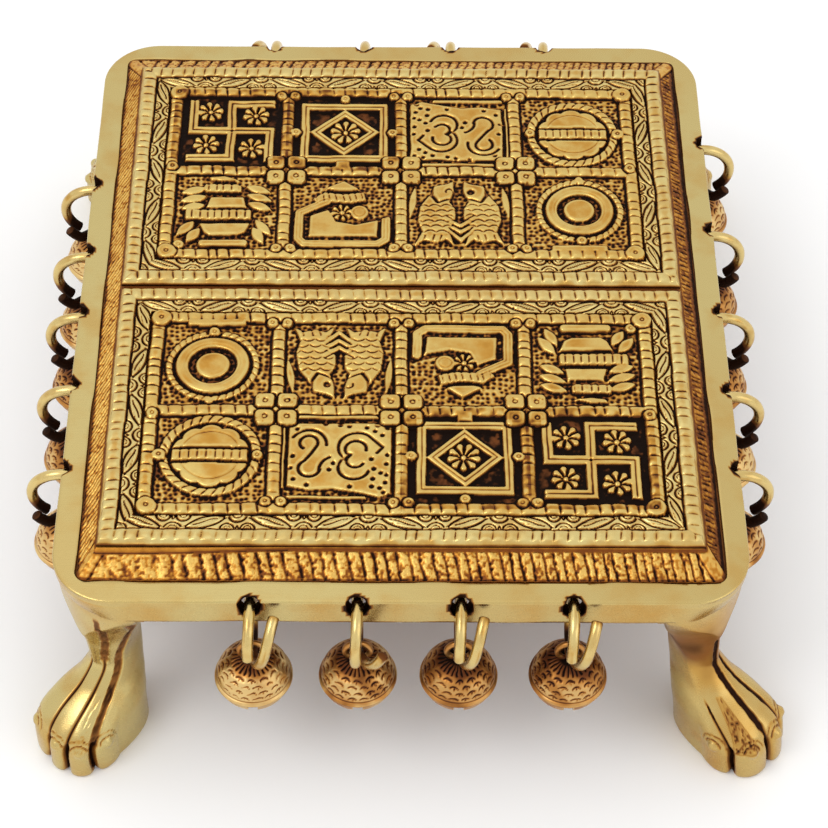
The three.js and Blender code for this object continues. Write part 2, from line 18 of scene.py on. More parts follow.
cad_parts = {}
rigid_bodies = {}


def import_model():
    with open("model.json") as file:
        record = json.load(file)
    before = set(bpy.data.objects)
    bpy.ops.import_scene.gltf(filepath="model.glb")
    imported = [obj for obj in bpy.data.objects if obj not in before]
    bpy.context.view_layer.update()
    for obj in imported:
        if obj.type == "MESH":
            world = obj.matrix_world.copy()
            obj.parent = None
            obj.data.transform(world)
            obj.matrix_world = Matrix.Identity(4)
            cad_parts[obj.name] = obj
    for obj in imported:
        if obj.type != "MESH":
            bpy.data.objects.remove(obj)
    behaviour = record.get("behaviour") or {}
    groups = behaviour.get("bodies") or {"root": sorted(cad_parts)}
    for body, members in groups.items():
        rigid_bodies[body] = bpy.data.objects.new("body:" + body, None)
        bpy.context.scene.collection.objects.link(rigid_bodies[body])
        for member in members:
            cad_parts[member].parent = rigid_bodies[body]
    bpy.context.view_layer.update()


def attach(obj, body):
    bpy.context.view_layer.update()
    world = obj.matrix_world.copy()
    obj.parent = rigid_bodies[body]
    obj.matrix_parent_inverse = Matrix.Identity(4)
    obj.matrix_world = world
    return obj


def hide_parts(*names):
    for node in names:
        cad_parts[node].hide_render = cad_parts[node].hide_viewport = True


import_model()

LOG = logging.getLogger("bajot")
MM = 0.001
HALF_WIDTH, HALF_DEPTH, RIM_Z = 76.2, 88.9, 55.0
Array = np.ndarray


# --- Plain arithmetic on arrays ---------------------------------------------------------------


def smooth(value: Array, low: float = 0.0, high: float = 1.0) -> Array:
    """Rises from 0 at low to 1 at high as 3 t squared less 2 t cubed."""
    t = np.clip((value - low) / (high - low), 0.0, 1.0)
    return t * t * (3.0 - 2.0 * t)


def bump(distance: Array, width: float) -> Array:
    """Bell curve of a distance: 1 at the middle, falling as exp of minus (distance / width) squared."""
    return np.exp(-((distance / width) ** 2))


class Lumps:
    """Seeded smooth noise in the plane: random heights on a square lattice, eased between its nodes."""

    SIZE = 64

    def __init__(self, seed: int) -> None:
        """Draws the lattice of heights from -1 to 1 for a seed."""
        self.nodes = np.random.default_rng(seed).uniform(-1.0, 1.0, (self.SIZE, self.SIZE))

    def at(self, x: Array, y: Array, scale: float) -> Array:
        """Reads the noise.

        Args:
            x: First coordinate.
            y: Second coordinate.
            scale: Distance between two lattice nodes.

        Returns:
            Heights from -1 to 1: the four nodes round each point, weighted by eased shares.
        """
        u, v = np.broadcast_arrays(x / scale, y / scale)
        i, j = np.floor(u).astype(int), np.floor(v).astype(int)
        s, t = smooth(u - i), smooth(v - j)
        a = self.nodes[i % self.SIZE, j % self.SIZE]
        b = self.nodes[(i + 1) % self.SIZE, j % self.SIZE]
        c = self.nodes[i % self.SIZE, (j + 1) % self.SIZE]
        d = self.nodes[(i + 1) % self.SIZE, (j + 1) % self.SIZE]
        return (a * (1 - s) + b * s) * (1 - t) + (c * (1 - s) + d * s) * t


class Gaps:
    """Uneven division lines along a strip, such as those between the beads of a rope."""

    def __init__(self, length: float, pitch: float, seed: int, unevenness: float = 0.1) -> None:
        """Places the lines.

        Args:
            length: Half the length of the strip, which runs from -length to length.
            pitch: Usual distance between two lines.
            seed: Seed of the unevenness.
            unevenness: Largest shift of a line, as a share of the pitch.
        """
        count = max(2, round(2 * length / pitch) + 1)
        places = np.linspace(-length, length, count)
        shift = np.random.default_rng(seed).uniform(-unevenness, unevenness, count) * pitch
        self.places = places + shift

    def distance(self, along: Array) -> Array:
        """Distance from each place along the strip to the nearest line."""
        right = np.clip(np.searchsorted(self.places, along), 1, len(self.places) - 1)
        return np.minimum(np.abs(along - self.places[right - 1]), np.abs(self.places[right] - along))

    def index(self, along: Array) -> Array:
        """Number of the line at or before each place, which tells one bead from the next."""
        return np.searchsorted(self.places, along)


def blurred(height: Array, radius: float) -> Array:
    """Averages a height field with a bell-shaped weight.

    Args:
        height: Field on a regular grid.
        radius: Standard deviation of the weight, in grid steps.

    Returns:
        The averaged field: its spectrum times exp of minus half (frequency times radius) squared,
        after the field is continued past its edges.
    """
    pad = int(3 * radius) + 1
    wide = np.pad(height, pad, mode="edge")
    rows = 2 * np.pi * np.fft.fftfreq(wide.shape[0])[:, None]
    columns = 2 * np.pi * np.fft.rfftfreq(wide.shape[1])[None, :]
    weight = np.exp(-0.5 * radius**2 * (rows**2 + columns**2))
    return np.fft.irfft2(np.fft.rfft2(wide) * weight, s=wide.shape)[pad:-pad, pad:-pad]


class Wall(Enum):
    """The four sides of the table, in the order in which a walk round it passes them."""

    FRONT = 0
    RIGHT = 1
    REAR = 2
    LEFT = 3


def circle(count: int) -> Array:
    """Angles of evenly spaced points round a full turn, in radians."""
    return np.linspace(0, 2 * np.pi, count + 1)[:-1]


def lap(width: float, depth: float, step: float) -> tuple:
    """Walks once round a rectangle, from its front left corner.

    Args:
        width: Length of the front and the rear.
        depth: Length of the two sides.
        step: Distance between two points, about.

    Returns:
        Of each point the place as shares of half the width and half the depth, from -1 to 1, and
        the number of its wall.
    """
    share_x = np.linspace(-1, 1, round(width / step) + 1)[:-1]
    share_y = np.linspace(-1, 1, round(depth / step) + 1)[:-1]
    one_x, one_y = np.ones(len(share_x)), np.ones(len(share_y))
    return (np.concatenate([share_x, one_y, -share_x, -one_y]), np.concatenate([-one_x, share_y, one_x, -share_y]),
            np.repeat([wall.value for wall in Wall], [len(share_x), len(share_y)] * 2))


def moved(points: Array, turn: float, shift: Sequence[float]) -> Array:
    """Turns places about the upright axis, then shifts them.

    Args:
        points: Places, the last axis holding the three coordinates.
        turn: Angle in radians.
        shift: How far they move along each axis.

    Returns:
        The new places.
    """
    c, s = math.cos(turn), math.sin(turn)
    x, y, z = (points[..., k] for k in range(3))
    return np.stack([shift[0] + c * x - s * y, shift[1] + s * x + c * y, shift[2] + z], -1)


def arc_points(centre: tuple, radius: float, start: float, end: float, steps: int = 14) -> list:
    """Points on an arc from the angle start to the angle end, in degrees."""
    angles = np.radians(np.linspace(start, end, steps + 1))
    return [(centre[0] + radius * math.cos(a), centre[1] + radius * math.sin(a)) for a in angles]


# --- Meshes -----------------------------------------------------------------------------------


class Piece:
    """Collects grids and caps of one closed surface and turns them into a Blender object."""

    def __init__(self, name: str) -> None:
        """Starts an empty piece.

        Args:
            name: The name that its object will have.
        """
        self.name = name
        self.points: list[Array] = []
        self.patina: list[Array] = []
        self.quads: list[Array] = []
        self.fans: list[Array] = []
        self.count = 0

    def grid(self, points: Array, patina: Optional[Array] = None, wrap_rows: bool = False,
             wrap_columns: bool = False, flip: bool = False) -> Array:
        """Adds a surface given by a function of two parameters on a grid.

        Args:
            points: Places, shaped rows by columns by 3, in millimetres.
            patina: Darkness at each point, 0 to 1, from patina and from the painted shade that some pieces add.
            wrap_rows: Whether the last row joins the first.
            wrap_columns: Whether the last column joins the first.
            flip: Whether to turn the faces round.

        Returns:
            The number of each grid point, shaped rows by columns.
        """
        rows, columns = points.shape[:2]
        index = np.arange(rows * columns).reshape(rows, columns) + self.count
        down = np.concatenate([index, index[:1]]) if wrap_rows else index
        full = np.concatenate([down, down[:, :1]], axis=1) if wrap_columns else down
        quads = np.stack([full[:-1, :-1], full[:-1, 1:], full[1:, 1:], full[1:, :-1]], -1).reshape(-1, 4)
        self.quads.append(quads[:, ::-1] if flip else quads)
        self.points.append(points.reshape(-1, 3))
        self.patina.append(np.zeros(rows * columns) if patina is None else patina.ravel())
        self.count += rows * columns
        return index

    def cap(self, loop: Array, flip: bool = False) -> None:
        """Closes an opening with one flat face over a loop of point numbers."""
        self.fans.append(loop[::-1] if flip else loop)

    def pole(self, loop: Array, place: Sequence[float], patina: float = 0.0, flip: bool = False) -> None:
        """Closes an opening with triangles to one point.

        Args:
            loop: Numbers of the points round the opening.
            place: Where the pole is, in millimetres.
            patina: Darkness at the pole, patina and painted shade alike.
            flip: Whether to turn the faces round.
        """
        self.points.append(np.array([place], float))
        self.patina.append(np.array([patina]))
        for a, b in zip(loop, np.roll(loop, -1)):
            corners = np.array([a, b, self.count])
            self.fans.append(corners[::-1] if flip else corners)
        self.count += 1

    def tube(self, points: Array, patina: Array, flip: bool = False) -> None:
        """Adds a surface that is closed along its rows, with flat faces over its two ends.

        Args:
            points: Places, shaped rows by columns by 3, in millimetres.
            patina: Darkness at each point, patina and painted shade alike.
            flip: Whether to turn the faces round.
        """
        index = self.grid(points, patina, wrap_columns=True, flip=flip)
        self.cap(index[0], flip=not flip)
        self.cap(index[-1], flip=flip)

    def globe(self, points: Array, patina: Optional[Array], ends: Sequence[tuple], flip: bool = False) -> None:
        """Adds a surface of revolution round the upright axis, closed with a pole at each end.

        Args:
            points: Places, shaped rows by columns by 3, in millimetres.
            patina: Darkness at each point, patina and painted shade alike.
            ends: Height and darkness, patina and painted shade alike, of the pole before the first row, and of that
                after the last.
            flip: Whether to turn the faces round.
        """
        index = self.grid(points, patina, wrap_columns=True, flip=flip)
        for row, (height, dark), turned in zip((0, -1), ends, (not flip, flip)):
            self.pole(index[row], (0, 0, height), dark, turned)

    def band(self, upper: Array, lower: Array) -> None:
        """Joins two loops of equally many points with a band of faces."""
        self.quads.append(np.stack([upper, lower, np.roll(lower, -1), np.roll(upper, -1)], -1))

    @staticmethod
    def outline(index: Array) -> Array:
        """Numbers of the points round the edge of a grid."""
        return np.concatenate([index[0, :-1], index[:-1, -1], index[-1, :0:-1], index[:0:-1, 0]])

    def mesh(self) -> bpy.types.Mesh:
        """Makes the mesh.

        Returns:
            The mesh, in metres, with its darkness from patina and painted shade as a point attribute.
        """
        quads = np.concatenate(self.quads)
        flat = np.concatenate([quads.ravel(), *self.fans]) if self.fans else quads.ravel()
        sizes = np.concatenate([np.full(len(quads), 4), [len(fan) for fan in self.fans]]).astype(np.int32)
        starts = np.concatenate([[0], np.cumsum(sizes)[:-1]]).astype(np.int32)
        mesh = bpy.data.meshes.new(self.name)
        mesh.vertices.add(self.count)
        mesh.vertices.foreach_set("co", (np.concatenate(self.points) * MM).astype(np.float32).ravel())
        mesh.loops.add(len(flat))
        mesh.loops.foreach_set("vertex_index", flat.astype(np.int32))
        mesh.polygons.add(len(sizes))
        mesh.polygons.foreach_set("loop_start", starts)
        mesh.polygons.foreach_set("use_smooth", np.ones(len(sizes), bool))
        layer = mesh.attributes.new("patina", "FLOAT", "POINT")
        layer.data.foreach_set("value", np.clip(np.concatenate(self.patina), 0, 1).astype(np.float32))
        mesh.update(calc_edges=True)
        mesh.validate()
        return mesh

    def object(self, material: bpy.types.Material, crease: Optional[float] = None) -> bpy.types.Object:
        """Makes the object and dresses it.

        Args:
            material: The finish.
            crease: Angle in degrees above which an edge stays sharp, or none.

        Returns:
            The object, linked into the scene at the origin.
        """
        mesh = self.mesh()
        if crease is not None:
            mesh.set_sharp_from_angle(angle=math.radians(crease))
        return put(self.name, mesh, material)


def put(name: str, mesh: bpy.types.Mesh, material: bpy.types.Material) -> bpy.types.Object:
    """Puts a mesh into the scene.

    Args:
        name: Name of the object.
        mesh: Its mesh.
        material: Its finish.

    Returns:
        The object, at the origin.
    """
    mesh.materials.append(material)
    thing = bpy.data.objects.new(name, mesh)
    bpy.context.scene.collection.objects.link(thing)
    return thing


def settle(thing: bpy.types.Object, body: str, slot: str, nodes: Iterable[str]) -> None:
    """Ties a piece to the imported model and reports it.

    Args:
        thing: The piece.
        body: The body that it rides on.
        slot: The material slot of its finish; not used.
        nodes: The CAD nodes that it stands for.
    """
    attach(thing, body)
    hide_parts(*nodes)
    LOG.info("%s: %d faces", thing.name, len(thing.data.polygons))


# --- Finishes ---------------------------------------------------------------------------------


def linear(colour: Sequence[int]) -> tuple:
    """Turns a colour into the values that a shader takes.

    Args:
        colour: Red, green and blue from 0 to 255, as they look on a screen.

    Returns:
        The linear red, green and blue from 0 to 1, and full opacity.
    """
    shares = np.array(colour) / 255
    values = np.where(shares <= 0.04045, shares / 12.92, ((shares + 0.055) / 1.055) ** 2.4)
    return (*values.tolist(), 1.0)


class Nodes:
    """Short names for the shader nodes that the finishes are made of."""

    def __init__(self, owner: bpy.types.ID, kind: str = "Material") -> None:
        """Empties the node tree of a new material or world.

        Args:
            owner: The material or world.
            kind: What its output node is called after.
        """
        owner.use_nodes = True
        self.owner = owner
        self.tree = owner.node_tree
        self.tree.nodes.clear()
        self.output = self.tree.nodes.new("ShaderNodeOutput" + kind)

    def add(self, kind: str, settings: Optional[dict] = None, **inputs: object) -> bpy.types.Node:
        """Adds a node.

        Args:
            kind: Blender's name of the node type, without the word ShaderNode.
            settings: Properties of the node.
            **inputs: A socket to link from or a value, by the input's name with _ for a space, or
                by i and its number.

        Returns:
            The new node.
        """
        node = self.tree.nodes.new("ShaderNode" + kind)
        for key, value in (settings or {}).items():
            setattr(node, key, value)
        for key, value in inputs.items():
            numbered = key[0] == "i" and key[1:].isdigit()
            socket = node.inputs[int(key[1:]) if numbered else key.replace("_", " ")]
            if isinstance(value, bpy.types.NodeSocket):
                self.tree.links.new(value, socket)
            else:
                socket.default_value = value
        return node

    def mix(self, share: object, a: object, b: object) -> bpy.types.NodeSocket:
        """Mixes two colours: a where the share is 0, b where it is 1."""
        return self.add("Mix", {"data_type": "RGBA"}, i0=share, i6=a, i7=b).outputs[2]

    def map(self, value: object, low: float, high: float, to_low: float = 0.0,
            to_high: float = 1.0) -> bpy.types.NodeSocket:
        """Maps a range of values to another, clamped and eased at both ends."""
        return self.add("MapRange", {"interpolation_type": "SMOOTHSTEP"}, Value=value, From_Min=low,
                        From_Max=high, To_Min=to_low, To_Max=to_high).outputs[0]

    def maths(self, operation: str, a: object, b: object) -> bpy.types.NodeSocket:
        """Combines two values with one arithmetic operation."""
        return self.add("Math", {"operation": operation}, i0=a, i1=b).outputs[0]

    def times(self, a: object, b: object) -> bpy.types.NodeSocket:
        """Product of two values."""
        return self.maths("MULTIPLY", a, b)

    def noise(self, place: bpy.types.NodeSocket, scale: float, detail: float,
              rough: float = 0.55) -> bpy.types.NodeSocket:
        """Noise of a number of lumps to the metre, around one half."""
        return self.add("TexNoise", None, Vector=place, Scale=scale, Detail=detail,
                        Roughness=rough).outputs["Fac"]

    def finish(self, shader: bpy.types.Node) -> bpy.types.ID:
        """Leads a shader to the output and returns the material or world."""
        self.tree.links.new(shader.outputs[0], self.output.inputs["Surface"])
        return self.owner


@dataclass(frozen=True)
class Brass:
    """Brass darkened by an attribute of patina and painted shade: clean metal, warmer stained patches, and dark
    brown where patina collects and where shade is painted.
    """

    name: str
    clean: tuple
    warm: tuple
    brown: tuple
    deep: tuple
    roughness: float = 0.3
    brown_roughness: float = 0.55
    stain: float = 0.5
    mottle_scale: float = 260.0
    grain: float = 0.08
    grain_scale: float = 2600.0
    scratches: float = 0.0
    brown_metal: float = 0.1

    def material(self) -> bpy.types.Material:
        """Builds the node material.

        Returns:
            A metal whose colour goes from clean through warm to brown and nearly black with the attribute
            of patina and painted shade, with stained patches, fine grain and, where asked, polishing scratches.
        """
        n = Nodes(bpy.data.materials.new(self.name))
        clean, warm, brown, deep = (linear(colour) for colour in (self.clean, self.warm, self.brown, self.deep))
        place = n.add("TexCoord").outputs["Object"]
        patina = n.add("Attribute", {"attribute_name": "patina"}).outputs["Fac"]
        mottle = n.noise(place, self.mottle_scale, 4.0)
        cloud = n.noise(place, self.mottle_scale / 7, 2.0)
        fine = n.noise(place, self.grain_scale, 3.0, 0.65)
        colour = n.mix(n.times(n.map(mottle, 0.42, 0.72), self.stain), clean, warm)
        colour = n.mix(n.times(n.map(cloud, 0.4, 0.7), self.stain * 0.6), colour, warm)
        wobble = n.times(n.maths("SUBTRACT", mottle, 0.5), 0.5)
        # Darkening from the attribute: patina, and painted shade where a piece asks for it.
        darkening = n.maths("ADD", patina, n.times(wobble, n.map(patina, 0.02, 0.3)))
        for low, high, shade in ((0.04, 0.26, warm), (0.2, 0.52, brown), (0.48, 0.85, deep)):
            colour = n.mix(n.map(darkening, low, high), colour, shade)
        rough = n.maths("ADD", n.map(darkening, 0.1, 0.7, self.roughness, self.brown_roughness),
                        n.times(n.maths("SUBTRACT", fine, 0.5), 0.16))
        relief = n.maths("ADD", n.times(fine, self.grain), n.times(mottle, self.grain * 2))
        if self.scratches:
            long = n.add("Mapping", None, Vector=place, Scale=(120.0, 5200.0, 5200.0)).outputs[0]
            relief = n.maths("ADD", relief, n.times(n.noise(long, 1.0, 2.0), self.scratches))
        dent = n.add("Bump", None, Height=relief, Distance=0.0004, Strength=0.6)
        return n.finish(n.add("BsdfPrincipled", None, Base_Color=colour, Roughness=rough, Normal=dent.outputs[0],
                              Metallic=n.map(darkening, 0.3, 0.8, 1.0, self.brown_metal),
                              Specular_IOR_Level=n.map(darkening, 0.3, 0.8, 0.5, 0.06)))


RELIEF_BRASS = Brass("relief_brass", (216, 188, 112), (196, 144, 62), (112, 60, 18), (20, 8, 3),
                     roughness=0.3, brown_roughness=0.6)
ROPE_BRASS = Brass("border_brass", (216, 196, 130), (198, 154, 78), (122, 68, 20), (26, 11, 4), roughness=0.3)
RIBBED_BRASS = Brass("ribbed_brass", (226, 186, 100), (196, 134, 52), (124, 66, 18), (34, 14, 5),
                     roughness=0.4, stain=0.5, grain=0.2)
STAND_BRASS = Brass("polished_brass", (200, 181, 121), (192, 150, 78), (140, 88, 34), (40, 19, 7),
                    roughness=0.26, stain=0.55, mottle_scale=90.0, grain=0.04, scratches=0.08)
WIRE_BRASS = Brass("brass_wire", (214, 190, 126), (190, 148, 76), (112, 64, 24), (34, 16, 6), roughness=0.24)
BELL_BRASS = Brass("bell_brass", (222, 190, 128), (184, 128, 66), (104, 54, 20), (20, 8, 4),
                   roughness=0.36, stain=0.5, mottle_scale=180.0)


@dataclass(frozen=True)
class Iron:
    """Plain cast iron of the pellets, dark and slightly rusty."""

    name: str = "iron_pellet"
    metal: tuple = (88, 86, 82)
    rust: tuple = (104, 66, 44)
    roughness: float = 0.6

    def material(self) -> bpy.types.Material:
        """Builds the node material.

        Returns:
            A grey metal with rust in patches and a pitted skin.
        """
        n = Nodes(bpy.data.materials.new(self.name))
        patches = n.noise(n.add("TexCoord").outputs["Object"], 900.0, 4.0)
        colour = n.mix(n.map(patches, 0.48, 0.62), linear(self.metal), linear(self.rust))
        dent = n.add("Bump", None, Height=patches, Distance=0.0003, Strength=0.5)
        return n.finish(n.add("BsdfPrincipled", None, Base_Color=colour, Metallic=0.9, Roughness=self.roughness,
                              Normal=dent.outputs[0]))


# --- Relief panels ----------------------------------------------------------------------------


class Canvas:
    """Height field of a relief, drawn on by raising shapes out of the ground and carving lines.

    A shape is a field of distances to it, negative inside and positive outside.
    """

    def __init__(self, x: Array, y: Array, ground: float, height: Optional[Array] = None,
                 grime: Optional[Array] = None) -> None:
        """Starts a field over the given places.

        Args:
            x: First coordinates.
            y: Second coordinates.
            ground: Height of the ground.
            height: Heights to draw on, or none for a level field.
            grime: Extra darkness to draw on, or none for a clean field.
        """
        self.x, self.y, self.ground = x, y, ground
        self.height = np.full(x.shape, ground) if height is None else height
        self.grime = np.zeros(x.shape) if grime is None else grime

    def window(self, x: float, y: float, half: float) -> "Canvas":
        """Cuts out a part of a rectangular field.

        Args:
            x: Middle of the part, first coordinate.
            y: Middle of the part, second coordinate.
            half: Half its size.

        Returns:
            A canvas with its origin at that middle, which draws on the same heights.
        """
        columns = np.where(np.abs(np.median(self.x, axis=0) - x) < half)[0]
        rows = np.where(np.abs(np.median(self.y, axis=1) - y) < half)[0]
        part = np.s_[rows[0]:rows[-1] + 1, columns[0]:columns[-1] + 1]
        return Canvas(self.x[part] - x, self.y[part] - y, self.ground, self.height[part], self.grime[part])

    def box(self, centre: tuple, half: tuple, corner: float = 0.0) -> Array:
        """Distance to a box: length of the part of (|x|, |y|) past its inner corner, less the rounding.

        Args:
            centre: Middle of the box.
            half: Half its sizes.
            corner: Radius of its corners.

        Returns:
            The distances.
        """
        dx = np.abs(self.x - centre[0]) - half[0] + corner
        dy = np.abs(self.y - centre[1]) - half[1] + corner
        outside = np.hypot(np.maximum(dx, 0), np.maximum(dy, 0))
        return outside + np.minimum(np.maximum(dx, dy), 0) - corner

    def disc(self, centre: tuple, radius: float) -> Array:
        """Distance to a disc: distance to its centre less its radius."""
        return np.hypot(self.x - centre[0], self.y - centre[1]) - radius

    def stroke(self, points: Sequence[tuple], width: float = 0.0) -> Array:
        """Distance to a stroke: least distance to the pieces of a broken line, less half the width.

        Args:
            points: Corners of the line.
            width: Width of the stroke.

        Returns:
            The distances.
        """
        nearest = np.full(self.x.shape, np.inf)
        for (ax, ay), (bx, by) in zip(points[:-1], points[1:]):
            ux, uy = bx - ax, by - ay
            t = np.clip(((self.x - ax) * ux + (self.y - ay) * uy) / max(ux * ux + uy * uy, 1e-9), 0, 1)
            nearest = np.minimum(nearest, np.hypot(self.x - ax - t * ux, self.y - ay - t * uy))
        return nearest - width / 2

    def polygon(self, *points: tuple) -> Array:
        """Distance to a polygon: distance to its outline, negative where a ray crosses it an odd number of times.

        Args:
            *points: Its corners.

        Returns:
            The distances.
        """
        closed = [*points, points[0]]
        outline = self.stroke(closed)
        inside = np.zeros(outline.shape, bool)
        for (ax, ay), (bx, by) in zip(closed[:-1], closed[1:]):
            crosses = (ay > self.y) != (by > self.y)
            with np.errstate(divide="ignore", invalid="ignore"):
                inside ^= crosses & (self.x < (bx - ax) * (self.y - ay) / (by - ay) + ax)
        return np.where(inside, -outline, outline)

    def leaf(self, start: tuple, end: tuple, width: float) -> Array:
        """Distance to a leaf: distance from its midrib less half its width times sin(pi t) to the 0.8.

        Args:
            start: One tip.
            end: The other tip.
            width: Greatest width.

        Returns:
            The distances, t being the place along the leaf from 0 to 1.
        """
        ux, uy = end[0] - start[0], end[1] - start[1]
        length = math.hypot(ux, uy)
        ux, uy = ux / length, uy / length
        x, y = self.x - start[0], self.y - start[1]
        along, across = x * ux + y * uy, np.abs(y * ux - x * uy)
        half = width / 2 * np.sin(np.pi * np.clip(along / length, 0, 1)) ** 0.8
        beyond = np.maximum(np.maximum(-along, along - length), 0)
        return np.hypot(np.maximum(across - half, 0), beyond) - np.maximum(half - across, 0)

    def lift(self, distance: Array, top: float, edge: float = 0.35, crown: float = 0.0,
             reach: float = 1.5) -> None:
        """Raises a shape.

        Args:
            distance: Distance to the shape, negative inside.
            top: Height of the shape past its edge.
            edge: Width of the slope inside the outline.
            crown: How much higher the shape bulges at a distance of reach inside.
            reach: Where the bulge is full.
        """
        inside = np.clip(-distance / reach, 0, 1)
        level = top + crown * np.sqrt(inside * (2 - inside))
        raised = self.ground + (level - self.ground) * smooth(-distance, 0, edge)
        np.maximum(self.height, raised, out=self.height)

    def carve(self, distance: Array, depth: float = 0.4, width: float = 0.2) -> None:
        """Cuts a line, deepest where the distance is 0 or less."""
        self.height -= depth * bump(np.maximum(distance, 0), width)

    def knob(self, x: float, y: float, radius: float, top: float = 1.85) -> None:
        """Raises a round knob with a stamped ring in its middle.

        Args:
            x: Middle of the knob, first coordinate.
            y: Middle of the knob, second coordinate.
            radius: Its radius.
            top: Its height.
        """
        r = np.hypot(self.x - x, self.y - y)
        self.carve(np.abs(r - radius - 0.1), 0.5, 0.22)
        self.lift(r - radius, top, 0.4, 0.12)
        self.carve(np.abs(r - 0.42) - 0.05, 0.35, 0.14)

    def rosette(self, x: float, y: float, radius: float, petals: int = 8, top: float = 1.6) -> None:
        """Raises a rosette: petals that widen outwards, round a stamped eye.

        A point lies in a petal where its angle from the petal's midline times its radius is less
        than a share of the radius, and its radius is less than the rosette's.

        Args:
            x: Middle of the rosette, first coordinate.
            y: Middle of the rosette, second coordinate.
            radius: Its radius.
            petals: How many petals it has.
            top: Its height.
        """
        dx, dy = self.x - x, self.y - y
        r = np.hypot(dx, dy)
        turn = 2 * np.pi / petals
        angle = (np.arctan2(dy, dx) + turn * 0.3) % turn - turn / 2
        side = np.abs(angle) * r - (turn / 2 * r - 0.17)
        lobe = r - radius + 1.1 * (angle / turn) ** 2 * radius
        self.lift(np.maximum(side, lobe), top, 0.28)
        self.lift(self.disc((x, y), 0.75), top, 0.25)
        self.carve(np.abs(r - 0.36), 0.35, 0.13)

    def soot(self) -> None:
        """Darkens the plain ground unevenly."""
        low = smooth(self.ground + 0.25 - self.height, 0, 0.15)
        self.grime += low * (0.2 + 0.22 * Lumps(23).at(self.x, self.y, 1.3))

    def stipple(self, distance: Array, pitch: float = 1.32, seed: int = 3, depth: float = 0.36) -> None:
        """Punches the ground inside a shape with round pits.

        Each square of the pitch holds one pit, shifted by seeded noise. A point's depth is the
        bell curve of its distance to the nearest of the nine pits round it.

        Args:
            distance: Distance to the shape.
            pitch: Distance between two pits.
            seed: Seed of the pits' places.
            depth: Depth of a pit.
        """
        size = 128
        shift = np.random.default_rng(seed).uniform(-0.3, 0.3, (2, size, size))
        i, j = np.floor(self.x / pitch).astype(int), np.floor(self.y / pitch).astype(int)
        nearest = np.full(self.x.shape, np.inf)
        for step in product((-1, 0, 1), repeat=2):
            a, b = i + step[0], j + step[1]
            px, py = ((place + 0.5 + shift[k, a % size, b % size]) * pitch for k, place in enumerate((a, b)))
            nearest = np.minimum(nearest, np.hypot(self.x - px, self.y - py))
        inside = smooth(-distance, 0, 0.4)
        low = smooth(self.ground + 0.2 - self.height, 0, 0.1) * inside
        pit = bump(nearest, 0.3 * pitch)
        self.height += low * (0.2 - depth * pit)
        self.grime += low * (0.55 * pit - 0.26)


class Sign(Enum):
    """The eight auspicious signs of a panel, in reading order from its far left cell."""

    SVASTIKA = (0, 0)
    LOZENGE = (1, 0)
    PLAQUE = (2, 0)
    WHEEL = (3, 0)
    THRONE = (0, 1)
    HOOK = (1, 1)
    FISH = (2, 1)
    MIRROR = (3, 1)


